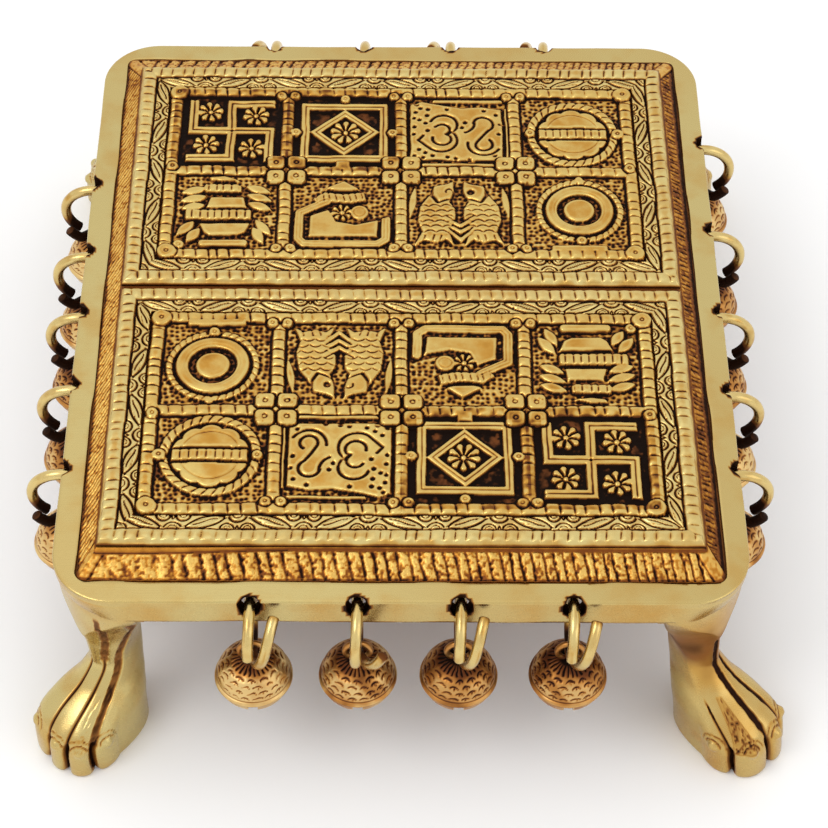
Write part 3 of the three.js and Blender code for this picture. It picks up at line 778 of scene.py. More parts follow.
@dataclass(frozen=True)
class Cell:
    """Draws a sign in the window of its cell, whose origin is the cell's middle."""

    c: Canvas
    HIGH = 1.78
    LOW = 1.5

    def draw(self, sign: Sign) -> None:
        """Draws one sign by the method that has its name."""
        getattr(self, sign.name.lower())()

    def svastika(self) -> None:
        """Four bent arms with a line along each, and a rosette in each quarter."""
        c = self.c
        reach, half = 11.0, 1.35
        arms = [[(0.0, 0.0), (0.0, reach - half), (reach, reach - half)]]
        for _ in range(3):
            arms.append([(y, -x) for x, y in arms[-1]])
        for _, (bx, by), (ex, ey) in arms:
            c.lift(c.box((bx / 2, by / 2), (abs(bx) / 2 + half, abs(by) / 2 + half)), self.LOW, 0.3)
            sizes = (abs(ex - bx) / 2 + (half if ex == bx else 0), abs(ey - by) / 2 + (half if ey == by else 0))
            c.lift(c.box(((bx + ex) / 2, (by + ey) / 2), sizes), self.LOW, 0.3)
        for arm in arms:
            c.carve(c.stroke(arm), 0.42, 0.2)
        for x, y in ((-5.5, 6.6), (6.1, 5.4), (-6.0, -5.1), (5.4, -6.3)):
            c.rosette(x, y, 3.5)
        c.soot()

    def lozenge(self) -> None:
        """Square frame round a diamond round a rosette, with knobs at the middles of the sides."""
        c = self.c
        square = c.box((0, -0.5), (11.0, 10.5), 0.5)
        c.lift(np.maximum(square, -square - 2.5), self.LOW, 0.28)
        diamond = (np.abs(c.x) / 8.9 + np.abs(c.y + 0.5) / 8.5 - 1) * 6.15
        c.lift(np.maximum(diamond, -diamond - 2.2), self.LOW, 0.28)
        c.carve(np.abs(square + 1.35), 0.36, 0.17)
        c.carve(np.abs(diamond + 1.15), 0.36, 0.17)
        c.rosette(0.1, -0.6, 4.0, 9)
        for x, y in ((0.0, 11.4), (-12.0, -0.8), (12.0, -0.8)):
            c.knob(x, y, 1.45, 1.7)
        c.soot()
        c.lift(c.box((-0.2, -12.4), (2.0, 1.7), 0.5), 1.8, 0.4)

    def plaque(self) -> None:
        """Raised plate with an incised comma scroll, an S scroll and punched dots."""
        c = self.c
        plate = c.polygon((-12.1, -10.3), (11.3, -10.4), (11.4, 8.1), (6.2, 9.2), (1.0, 8.7),
                                      (-6.0, 10.2), (-9.0, 11.0), (-12.0, 9.8))
        c.lift(plate, 1.4, 0.4, 0.14, 2.0)
        c.height += 0.07 * Lumps(17).at(c.x, c.y, 2.6) * (plate < -0.5)
        comma = (arc_points((-3.6, 2.5), 3.4, 160, -70) + arc_points((-4.3, -3.2), 4.1, 52, -128)
                 + [(-9.9, -3.2), (-8.6, -1.6)])
        core = arc_points((-3.9, 0.6), 1.9, 150, -60, 8) + arc_points((-4.0, -2.7), 2.3, 30, -190, 10)
        scroll = (arc_points((0.5, 3.2), 3.7, -70, 5, 8) + arc_points((6.4, 2.7), 2.5, 170, -60, 12)
                  + arc_points((6.6, -4.6), 2.1, 140, 410, 14))
        tail = arc_points((6.6, -4.2), 4.1, 175, 330, 12)
        for stroke in (comma, core, scroll, tail):
            c.carve(c.stroke(stroke) - 0.16, 0.55, 0.24)
        for x, y in ((-10.6, 6.9), (-9.4, 8.4), (-7.6, 8.0), (-9.6, 4.2), (-10.8, 1.6), (-7.4, 0.2), (9.8, 6.0),
                     (10.6, 2.7), (10.2, -0.8), (1.8, 3.2), (-9.8, -6.6), (-8.2, -7.8), (-6.4, -8.8), (-2.6, -9.2),
                     (-0.6, -9.6), (2.8, -9.9), (-11.0, -8.8), (-7.8, 5.8), (-2.8, 8.0), (0.9, 1.4), (-10.9, 4.8),
                     (-11.0, -1.0), (-8.8, -9.4), (-10.2, 9.6), (-8.0, 3.0), (9.2, -8.6), (6.8, 7.6)):
            c.carve(c.disc((x, y), 0.38), 0.5, 0.22)
        c.lift(c.box((12.15, -0.9), (0.35, 9.4), 0.2), 1.5, 0.2)
        c.lift(c.box((2.6, 11.0), (9.0, 0.5), 0.3), 1.5, 0.25)
        c.lift(c.box((0.0, -11.9), (9.6, 0.55), 0.3), 1.6, 0.25)

    def wheel(self) -> None:
        """Scalloped disc in a wreath, crossed by a beaded band between two knobs."""
        c = self.c
        dx, dy = c.x - 0.3, c.y + 0.9
        r, angle = np.hypot(dx, dy), np.arctan2(dy, dx)
        disc = r - 8.1 - 0.95 * np.abs(np.cos(5 * (angle - np.pi / 2))) ** 0.6
        c.lift(disc, self.LOW - 0.1, 0.45, 0.25, 4.0)
        c.carve(np.abs(r - 6.7), 0.22, 0.18)
        leaves = np.abs(((angle * 14.5 / np.pi + r * 0.3) % 1) - 0.5)
        wreath = np.abs(r - 10.45) - 1.25
        c.lift(wreath, 1.35, 0.35, 0.3, 1.1)
        c.carve(np.maximum((0.5 - leaves) * 2.2, wreath + 0.1), 0.5, 0.26)
        band = c.box((0.3, -0.9), (8.8, 1.75), 0.3)
        c.height[band < 0.5] = c.ground
        c.lift(band, self.HIGH, 0.4)
        beads = Gaps(8.8, 1.95, 5)
        c.carve(np.maximum(beads.distance(dx), band + 0.1), 0.4, 0.17)
        c.knob(-10.4, -0.8, 1.5)
        c.knob(11.7, -0.8, 1.8)

    def throne(self) -> None:
        """Stacked mouldings, two of them ribbed, with leaves at the sides."""
        c = self.c
        c.lift(c.polygon((-5.0, 11.5), (-0.8, 12.0), (3.5, 10.6), (-0.8, 10.0), (-4.2, 10.4)), 1.6, 0.3)
        ribbed = (c.box((-1.2, 7.6), (4.8, 1.5), 1.0), c.box((-2.0, -1.4), (8.3, 1.8), 0.9))
        for rib, shape in enumerate(ribbed):
            c.lift(shape, self.HIGH, 0.4, 0.1)
            c.carve(np.maximum(Gaps(12.0, 1.8, 7 + rib).distance(c.x), shape + 0.2), 0.45, 0.2)
        c.lift(c.polygon((-4.2, 4.9), (4.3, 4.9), (5.0, 1.1), (-5.3, 1.1)), self.LOW, 0.4)
        c.lift(c.polygon((-6.9, -4.0), (6.2, -4.0), (5.0, -7.2), (3.0, -8.3), (-4.0, -8.3), (-5.6, -7.0)),
               self.LOW, 0.4, 0.15)
        c.lift(c.box((-0.4, -10.9), (6.3, 1.25), 1.2), self.HIGH, 0.4, 0.1)
        leaves = [((-5.0, 7.8), (-11.4, 5.8)), ((-4.8, 5.0), (-11.6, 3.0)), ((-5.2, 2.2), (-11.2, 0.4)),
                  ((4.2, 8.4), (10.9, 6.2)), ((4.4, 5.6), (11.2, 3.4)), ((4.8, 2.8), (11.0, 0.4)),
                  ((-7.6, -3.4), (-11.6, -8.4)), ((-6.2, -5.6), (-9.4, -10.4)), ((6.8, -2.8), (11.2, -8.4)),
                  ((6.4, -5.4), (9.4, -11.0))]
        for start, end in leaves:
            c.lift(c.leaf(start, end, 3.0), 1.35, 0.35, 0.3, 1.2)
        c.knob(-11.0, -11.2, 1.5, 1.6)

    def hook(self) -> None:
        """Boat-like hook round a plate and a rosette, under a ribbed collar and a pointed cap."""
        c = self.c
        c.lift(c.polygon((0.2, 10.6), (4.4, 7.4), (2.0, 6.7), (-2.4, 6.7), (-5.2, 7.4)), 1.7, 0.45, 0.1)
        collar = c.polygon((-7.8, 4.0), (-4.8, 6.4), (0.0, 5.8), (5.2, 6.6), (6.0, 3.4), (1.5, 2.4),
                                       (-3.2, 2.8), (-6.0, 1.9))
        c.lift(collar, self.HIGH, 0.4)
        c.carve(np.maximum(Gaps(12.0, 1.6, 11).distance(c.x + 0.2 * c.y), collar + 0.2), 0.4, 0.16)
        path = [(-4.0, 3.3), (-10.5, -0.5), (-10.6, -9.0), (-9.4, -10.6), (8.6, -10.8), (10.5, -9.2), (10.6, -2.6)]
        band = c.stroke(path, 2.5)
        c.lift(band, 1.6, 0.35)
        c.carve(np.abs(band + 0.75), 0.3, 0.14)
        c.lift(c.polygon((-8.0, -1.4), (-3.4, 0.8), (-1.6, -3.2), (3.0, -4.2), (9.0, -2.6), (8.6, -8.4),
                                     (-8.4, -8.4)), 1.45, 0.35)
        c.rosette(-0.4, -0.4, 2.7, 8, 1.65)
        c.lift(c.disc((4.0, -0.3), 2.5), 1.5, 0.4)
        c.carve(np.abs(np.hypot(c.x - 4.0, c.y + 0.3) - 1.5), 0.25, 0.15)
        c.carve(c.stroke([(5.6, -3.2), (11.4, -1.2)]) - 0.15, 0.6, 0.3)

    def fish(self) -> None:
        """Two fish nose up, scaled and forked at the tail, with a knot between them."""
        c = self.c
        body = [(-0.9, 10.8), (-3.0, 9.6), (-6.2, 8.8), (-7.4, 5.6), (-9.8, 2.0), (-10.4, -3.0), (-9.4, -6.8),
                (-11.2, -11.6), (-8.4, -9.8), (-5.6, -10.6), (-3.4, -9.6), (-1.0, -11.7), (-2.2, -6.6), (-0.7, -2.0),
                (-0.8, 1.0), (-2.0, 3.2), (-0.9, 7.0)]
        for side in (1, -1):
            half = Canvas(side * c.x, c.y, c.ground, c.height, c.grime)
            shape = half.polygon(*body)
            half.lift(shape, 1.4, 0.4, 0.35, 2.6)
            self._scales(half, shape)
            half.carve(half.stroke([(-6.8, 8.0), (-6.6, 5.4), (-5.4, 3.4)]) - 0.2, 0.6, 0.28)
            half.carve(half.stroke([(-5.2, 3.0), (-1.8, 4.4)]) - 0.1, 0.5, 0.22)
            half.lift(half.leaf((-10.6, 9.0), (-12.0, -1.8), 2.0), 1.35, 0.3)
            for start in (-4.4, -6.2, -8.4):
                half.carve(half.stroke([(start, -8.2), (start - 0.6, -10.6)]), 0.4, 0.2)
        c.carve(c.disc((2.9, 6.5), 0.65), 0.6, 0.28)
        c.carve(c.stroke(arc_points((-2.2, 6.6), 0.9, 20, 200, 8)), 0.5, 0.22)
        for knot in ([(-3.0, -2.6), (0.2, -4.8), (3.4, -2.6)], [(-2.6, -6.4), (0.3, -9.4), (3.2, -6.4)],
                     [(-1.6, -5.4), (0.3, -6.8), (2.2, -5.4)]):
            c.lift(c.stroke(knot, 1.5), 1.5, 0.3)
            for shift, depth, width in ((0.95, 0.5, 0.22), (-0.95, 0.3, 0.2)):
                c.carve(c.stroke([(x, y + shift) for x, y in knot]), depth, width)

    @staticmethod
    def _scales(c: Canvas, shape: Array, row_pitch: float = 1.75, pitch: float = 2.9) -> None:
        """Cuts rows of crescents inside a fish, each row set off by half a crescent from the last.

        Args:
            c: Canvas on which the fish lies on the left.
            shape: Distance to the fish.
            row_pitch: Distance between two rows.
            pitch: Length of a crescent.
        """
        row = np.floor(c.y / row_pitch)
        for shift in (0, 1):
            number = row + shift
            cell = ((c.x + 0.25 * np.sin(number * 2.3)) / pitch + number % 2 / 2) % 1 * pitch - pitch / 2
            bend = number * row_pitch + 0.55 * (1 - (cell / 1.25) ** 2)
            line = np.maximum(np.abs(c.y - bend), np.abs(cell) - 1.2)
            c.carve(np.maximum(np.maximum(line, shape + 0.3), np.maximum(c.y - 2.4, -7.9 - c.y)), 0.42, 0.2)

    def mirror(self) -> None:
        """Round mirror in a moulded ring with a serrated border, a knob and a foot."""
        c = self.c
        dx, dy = c.x - 0.9, c.y - 0.7
        r, angle = np.hypot(dx, dy), np.arctan2(dy, dx)
        teeth = np.abs((angle * 17 / np.pi + r * 0.25) % 1 - 0.5)
        rim = np.abs(r - 9.9) - 0.9
        c.lift(rim, 1.25, 0.3, 0.2, 0.9)
        c.carve(np.maximum((0.5 - teeth) * 1.9, rim + 0.1), 0.45, 0.24)
        c.lift(r - 4.1, 1.4, 0.5, 0.22, 3.0)
        c.lift(np.abs(r - 6.9) - 1.75, 1.45, 0.55, 0.35, 1.6)
        c.carve(np.abs(r - 6.1), 0.22, 0.18)
        c.lift(c.box((0.4, -12.3), (7.0, 1.15), 0.7), self.HIGH, 0.35)
        c.knob(0.9, -9.6, 1.5, 1.65)
        c.lift(c.disc((1.2, 11.2), 1.2), 1.5, 0.3)


@dataclass
class ReliefPanel:
    """One cast panel: rope border, vine strip, rope grid with bosses and knobs, and eight signs."""

    name: str
    centre_y: float
    turned: bool
    seed: int
    width: float = 132.0
    depth: float = 75.0
    seat_z: float = 58.0
    ground: float = 0.62
    outer_rope: float = 3.8
    vine: float = 3.9
    inner_rope: float = 3.3
    rope_top: float = 1.2
    rope_crown: float = 0.6
    bead_pitch: float = 2.75
    inner_pitch: float = 2.9
    border_step: float = 0.21
    field_step: float = 0.22
    seam: float = 7.55
    leaf_pitch: float = 14.2
    wear: float = 0.12

    def __post_init__(self) -> None:
        """Works out the grid of the cells from the sizes of the borders."""
        self.grid_x = self.width / 2 - self.outer_rope - self.vine - self.inner_rope / 2
        self.grid_y = self.depth / 2 - self.outer_rope - self.vine - self.inner_rope / 2
        self.columns = np.linspace(-self.grid_x, self.grid_x, 5)
        self.rows = np.array([-self.grid_y, 0.0, self.grid_y])
        self.lumps = Lumps(self.seed)

    def _warped(self, x: Array, y: Array) -> tuple:
        """Shifts places by up to a quarter of a millimetre, as a hand-cut pattern wavers."""
        return (x + 0.2 * self.lumps.at(x, y, 7.0) + 0.05 * self.lumps.at(y, x, 2.1),
                y + 0.2 * self.lumps.at(x + 40, y, 7.0) + 0.05 * self.lumps.at(y + 31, x, 2.1))

    def _rope(self, across: Array, along: Array, half: float, length: float, pitch: float, seed: int,
              cut: float = 0.48) -> Array:
        """Height of a beaded rope.

        Args:
            across: Distance from the rope's midline.
            along: Place along the rope.
            half: Half the rope's width.
            length: Half the rope's length.
            pitch: Length of a bead.
            seed: Seed of the beads' unevenness.
            cut: Depth of the divisions between beads.

        Returns:
            Height above the ground: a crown of 1 less (across / half) to the 4th, notched by a bell
            curve of the distance to the nearest division, and sunk a little from bead to bead.
        """
        gaps = Gaps(length, pitch, self.seed * 37 + seed, 0.16)
        slant = along + 0.1 * across
        share = np.clip(1 - (np.abs(across) / half) ** 3.2, 0, 1)
        near = gaps.distance(slant)
        level = np.random.default_rng(seed + self.seed).uniform(-0.07, 0.07, 256)[gaps.index(slant) % 256]
        worn = cut * (0.75 + 0.45 * self.lumps.at(along, across * 0 + seed, 11.0))
        crown = self.rope_crown * share * (1 - 0.35 * bump(near, 0.7)) - worn * bump(near, 0.2) + level
        edge = smooth(half - np.abs(across), 0, 0.3)
        return (self.rope_top - self.ground + crown) * edge

    def _border(self, c: Canvas) -> None:
        """Draws the outer rope and the vine strip, mitred at the corners.

        Args:
            c: Canvas of the panel's frame.
        """
        from_x, from_y = self.width / 2 - np.abs(c.x), self.depth / 2 - np.abs(c.y)
        inset = np.minimum(from_x, from_y)
        middle, sunk = self.outer_rope / 2, self.rope_top - self.ground
        across = inset - self.outer_rope - self.vine / 2
        strip = np.abs(across) < self.vine / 2 - 0.1
        for here, along, side, length, seed in ((from_x < from_y, c.y, np.sign(c.x), self.depth / 2, 1),
                                                (from_x >= from_y, c.x, np.sign(c.y), self.width / 2, 2)):
            rope = self._rope(inset - middle, along + 0.6 * side, middle, length, self.bead_pitch, seed, 0.22)
            outer = np.maximum(rope, sunk) * smooth(inset, -0.15, 0.55)
            level = self.ground + np.where(inset < middle, outer, rope)
            c.height = np.where(here & (inset < self.outer_rope), np.maximum(c.height, level), c.height)
            crown, line = self._vine(along, across * side)
            edge = smooth(self.vine / 2 - np.abs(across), 0.0, 0.35)
            carved = self.ground + (0.55 + crown) * edge - 0.62 * line
            c.height = np.where(here & strip, np.maximum(carved, self.ground - 0.15), c.height)

    def _vine(self, along: Array, across: Array) -> tuple:
        """Relief of the vine that fills the strip.

        Leaves lean one way and the other by turns, a pitch apart, each with a midrib. Between two
        leaves a half disc stands on one edge of the strip and two lobes hang from the other. All of
        them touch, and lines cut round them part them.

        Args:
            along: Place along the strip.
            across: Distance from its midline.

        Returns:
            How much the shapes bulge, and 0 to 1 for how near a point is to a cut line.
        """
        unit = self.leaf_pitch
        along = along + 0.5 * self.lumps.at(along, across * 0 + 3, 9.0)
        number = np.round(along / unit)
        lean = np.where(number % 2 == 0, 1.0, -1.0)
        x, y = along - number * unit, across * lean
        angle = math.radians(18)
        u = x * math.cos(angle) + y * math.sin(angle)
        v = y * math.cos(angle) - x * math.sin(angle)
        leaf = np.abs(v) - 1.2 * np.clip(1 - (u / 4.4) ** 2, 0, 1) ** 0.8
        crown = 0.3 * smooth(-leaf, 0.0, 0.7)
        midrib = bump(v - 0.15 * np.sin(u), 0.15) * (np.abs(u) < 2.9)
        outline = bump(leaf - 0.2, 0.2) * (np.abs(u) < 4.6)
        barb = bump(np.abs(v) - 0.55 - 0.12 * u, 0.1) * (leaf < -0.1) * 0.4
        line = np.maximum(np.maximum(outline, midrib), barb)
        side = np.sign(x)
        bud_x, bud_y = np.abs(x) - unit / 2, y * side
        outside = leaf > 0.25
        for place, edge, radius in ((0.0, 2.0, 1.9), (-2.2, -1.9, 1.5), (1.3, -2.0, 1.6), (-3.2, 1.9, 0.9)):
            r = np.hypot(bud_x - place, bud_y - edge)
            crown = np.maximum(crown, 0.26 * smooth(radius - r, 0.0, 0.5) * outside)
            line = np.maximum(line, bump(r - radius - 0.08, 0.16) * outside)
            line = np.maximum(line, 0.75 * bump(r - 0.55 * radius, 0.12) * outside)
        return crown, line

    def _grid(self, c: Canvas) -> None:
        """Draws the ropes between the cells.

        Args:
            c: Canvas of the panel's middle.
        """
        half = self.inner_rope / 2
        for places, across, along, reach, seed in ((self.columns, c.x, c.y, self.grid_y + half, 10),
                                                   (self.rows, c.y, c.x, self.grid_x + half, 20)):
            inside = smooth(reach - np.abs(along), 0, 0.3)
            for number, place in enumerate(places, seed):
                rope = self._rope(across - place, along, half, reach, self.inner_pitch, number)
                c.height = np.maximum(c.height, self.ground + rope * inside)

    def _bosses(self, c: Canvas) -> None:
        """Draws the four-lobed bosses at the crossings and the knobs at corners and junctions.

        Args:
            c: Canvas of the panel's middle.
        """
        quarters = list(product((-1, 1), repeat=2))
        for place in self.columns[1:-1]:
            w = c.window(place, 0.0, 7.0)
            lobes = [w.box((sx * 2.55, sy * 2.45), (2.45, 2.35), 1.4) for sx, sy in quarters]
            for lobe in lobes:
                w.height[lobe < 0.2] = np.minimum(w.height, 1.0)[lobe < 0.2]
            for lobe, (sx, sy) in zip(lobes, quarters):
                w.lift(lobe, 1.8, 0.42, 0.22, 2.0)
                w.carve(np.abs(w.disc((sx * 2.5, sy * 2.3), 0.5)) - 0.06, 0.4, 0.17)
            for sx, sy in quarters:
                c.knob(place + 1.75 * sy, sx * (self.grid_y - 1.7), 1.45, 1.8)
        for sx, sy in quarters:
            c.knob(sx * (self.grid_x - 0.5), sy * (self.grid_y - 0.5), 2.5, 1.8)
        for sx in (-1, 1):
            c.knob(sx * (self.grid_x - 0.3), 1.2, 1.6, 1.8)

    def _signs(self, c: Canvas) -> None:
        """Draws the signs in their cells, on stippled ground where the sign has one.

        Args:
            c: Canvas of the panel's middle.
        """
        for sign in Sign:
            column, row = sign.value
            x = (self.columns[column] + self.columns[column + 1]) / 2
            y = (self.rows[1 - row] + self.rows[2 - row]) / 2
            window = c.window(x, y, 14.5)
            Cell(window).draw(sign)
            if sign not in (Sign.SVASTIKA, Sign.LOZENGE):
                window.stipple(window.box((0, 0), (12.4, 12.4)), seed=self.seed + column)

    def _patina(self, height: Array, grime: Array, step: float) -> Array:
        """Darkness of the patina, with painted shade on steep slopes.

        Args:
            height: The relief's heights.
            grime: Extra darkness where a drawing asks for it.
            step: Distance between two points of the grid.

        Returns:
            Numbers from 0 to 1 from how far a point lies below its surroundings, near and wide, and
            from how low it lies, with painted shade where the relief is steep.
        """
        near = blurred(height, 0.4 / step) - height
        wide = blurred(height, 1.3 / step) - height
        rows, columns = np.indices(height.shape) * step
        cloud = self.lumps.at(columns, rows, 6.0) + 0.6 * self.lumps.at(rows + 7, columns, 2.4)
        film = (0.15 + 0.09 * cloud) * smooth(near, -0.1, -0.01)
        low = smooth(self.ground + 0.5 - height, 0, 0.45)
        # Painted shade: steep walls are darkened, as if they reflected a dimmer room.
        steep_shade = smooth(np.hypot(*np.gradient(height, step)), 0.5, 2.0)
        return np.clip(film + smooth(near, 0.02, 0.22) * 0.8 + smooth(wide, 0.05, 0.5) * 0.3 + 0.38 * low
                       + 0.22 * steep_shade + grime, 0, 1)

    def _placed(self, x: Array, y: Array, z: Array) -> Array:
        """Puts local places into the table's frame, turned half round on the front panel."""
        turn = -1.0 if self.turned else 1.0
        return np.stack([turn * x, turn * y + self.centre_y, z + self.seat_z], -1)

    def fields(self) -> list:
        """Builds the middle of the panel, with rope grid, bosses and signs.

        Returns:
            The objects of its left and its right half.
        """
        half_x, half_y = self.width / 2 - self.seam, self.depth / 2 - self.seam
        count = 2 * round(half_x / self.field_step) + 1
        xs = np.linspace(-half_x, half_x, count)
        ys = np.linspace(-half_y, half_y, round(2 * half_y / self.field_step) + 1)
        x, y = np.meshgrid(xs, ys)
        c = Canvas(*self._warped(x, y), self.ground)
        self._signs(c)
        self._grid(c)
        self._bosses(c)
        ground = smooth(self.ground + 0.35 - c.height, 0, 0.2)
        c.height += ground * (0.09 * self.lumps.at(x, y, 0.7) + 0.05 * self.lumps.at(y, x + 9, 0.4))
        c.height = blurred(c.height, self.wear / self.field_step) + 0.02 * self.lumps.at(x, y, 1.1)
        patina = self._patina(c.height, c.grime, self.field_step)
        middle = count // 2
        halves = []
        for label, part in (("left", np.s_[:, :middle + 1]), ("right", np.s_[:, middle:])):
            piece = Piece(f"{self.name}_{label}")
            index = piece.grid(self._placed(x, y, c.height)[part], patina[part])
            self._close(piece, index, x[part], y[part])
            halves.append(piece.object(MATERIALS.relief))
        return halves

    def _close(self, piece: Piece, index: Array, x: Array, y: Array) -> None:
        """Adds the wall and the underside below the edge of a rectangular grid.

        Args:
            piece: The piece that holds the grid, as its first points.
            index: The numbers of the grid's points.
            x: Their first coordinates.
            y: Their second coordinates.
        """
        edge = piece.outline(index)
        low = np.arange(len(edge)) + piece.count
        piece.points.append(self._placed(x.ravel()[edge], y.ravel()[edge], np.zeros(len(edge))))
        # The wall and the underside are painted fully dark, as shade.
        piece.patina.append(np.ones(len(edge)))
        piece.count += len(edge)
        piece.band(edge, low)
        piece.cap(low, flip=True)

    def border(self) -> bpy.types.Object:
        """Builds the frame of the panel: outer rope and vine strip, as a closed ring.

        Returns:
            Its object.
        """
        insets = np.arange(0.0, self.seam + 1e-6, self.border_step)
        across, up, _ = lap(self.width, self.depth, self.border_step)
        flare = 0.3 * (1 - smooth(insets, 0, 0.3))
        x = (self.width / 2 - insets + flare)[:, None] * across
        y = (self.depth / 2 - insets + flare)[:, None] * up
        c = Canvas(*self._warped(x, y), self.ground)
        self._border(c)
        rise = smooth(insets, 0, 0.5)[:, None]
        c.height = 0.55 + (c.height - 0.55) * (0.35 + 0.65 * rise) + 0.018 * self.lumps.at(x, y, 1.1)
        patina = self._patina(c.height, c.grime, self.border_step)
        # The panel's outer wall: patina, with painted shade darkest along its foot beside the bed.
        wall = smooth(0.9 - insets, 0, 0.35)[:, None]
        wall_patina_and_shade = 0.1 + 0.1 * self.lumps.at(x, y, 3.0) + 0.45 * bump(insets, 0.15)[:, None]
        patina = patina * (1 - wall) + wall * wall_patina_and_shade
        # The rows that close the ring underneath are painted fully dark, as shade.
        low = np.zeros((1, x.shape[1]))
        rows_x, rows_y = np.concatenate([x[:1], x, x[-1:]]), np.concatenate([y[:1], y, y[-1:]])
        heights = np.concatenate([low, c.height, low])
        dark = np.concatenate([low + 1, patina, low + 1])
        piece = Piece(f"{self.name}_border")
        piece.grid(self._placed(rows_x, rows_y, heights), dark, wrap_rows=True, wrap_columns=True)
        return piece.object(MATERIALS.rope)

    def build(self) -> None:
        """Builds and settles both parts of the panel."""
        for thing in (*self.fields(), self.border()):
            settle(thing, "table", "relief_brass", [self.name])


# --- Bed and stand ----------------------------------------------------------------------------


def rounded(x: Array, y: Array, half: tuple, radius: Array) -> tuple:
    """Rounds the corners of a rectangle's outline.

    Args:
        x: First coordinates of points on the sharp rectangle.
        y: Second coordinates.
        half: Half sizes of the rectangle.
        radius: Radius of the rounding.

    Returns:
        The points, those within a corner's square pulled onto its arc.
    """
    dx, dy = np.abs(x) - (half[0] - radius), np.abs(y) - (half[1] - radius)
    corner = (dx > 0) & (dy > 0)
    pull = np.where(corner, radius / np.maximum(np.hypot(dx, dy), 1e-9), 1.0)
    return (np.where(corner, np.sign(x) * (half[0] - radius + dx * pull), x),
            np.where(corner, np.sign(y) * (half[1] - radius + dy * pull), y))


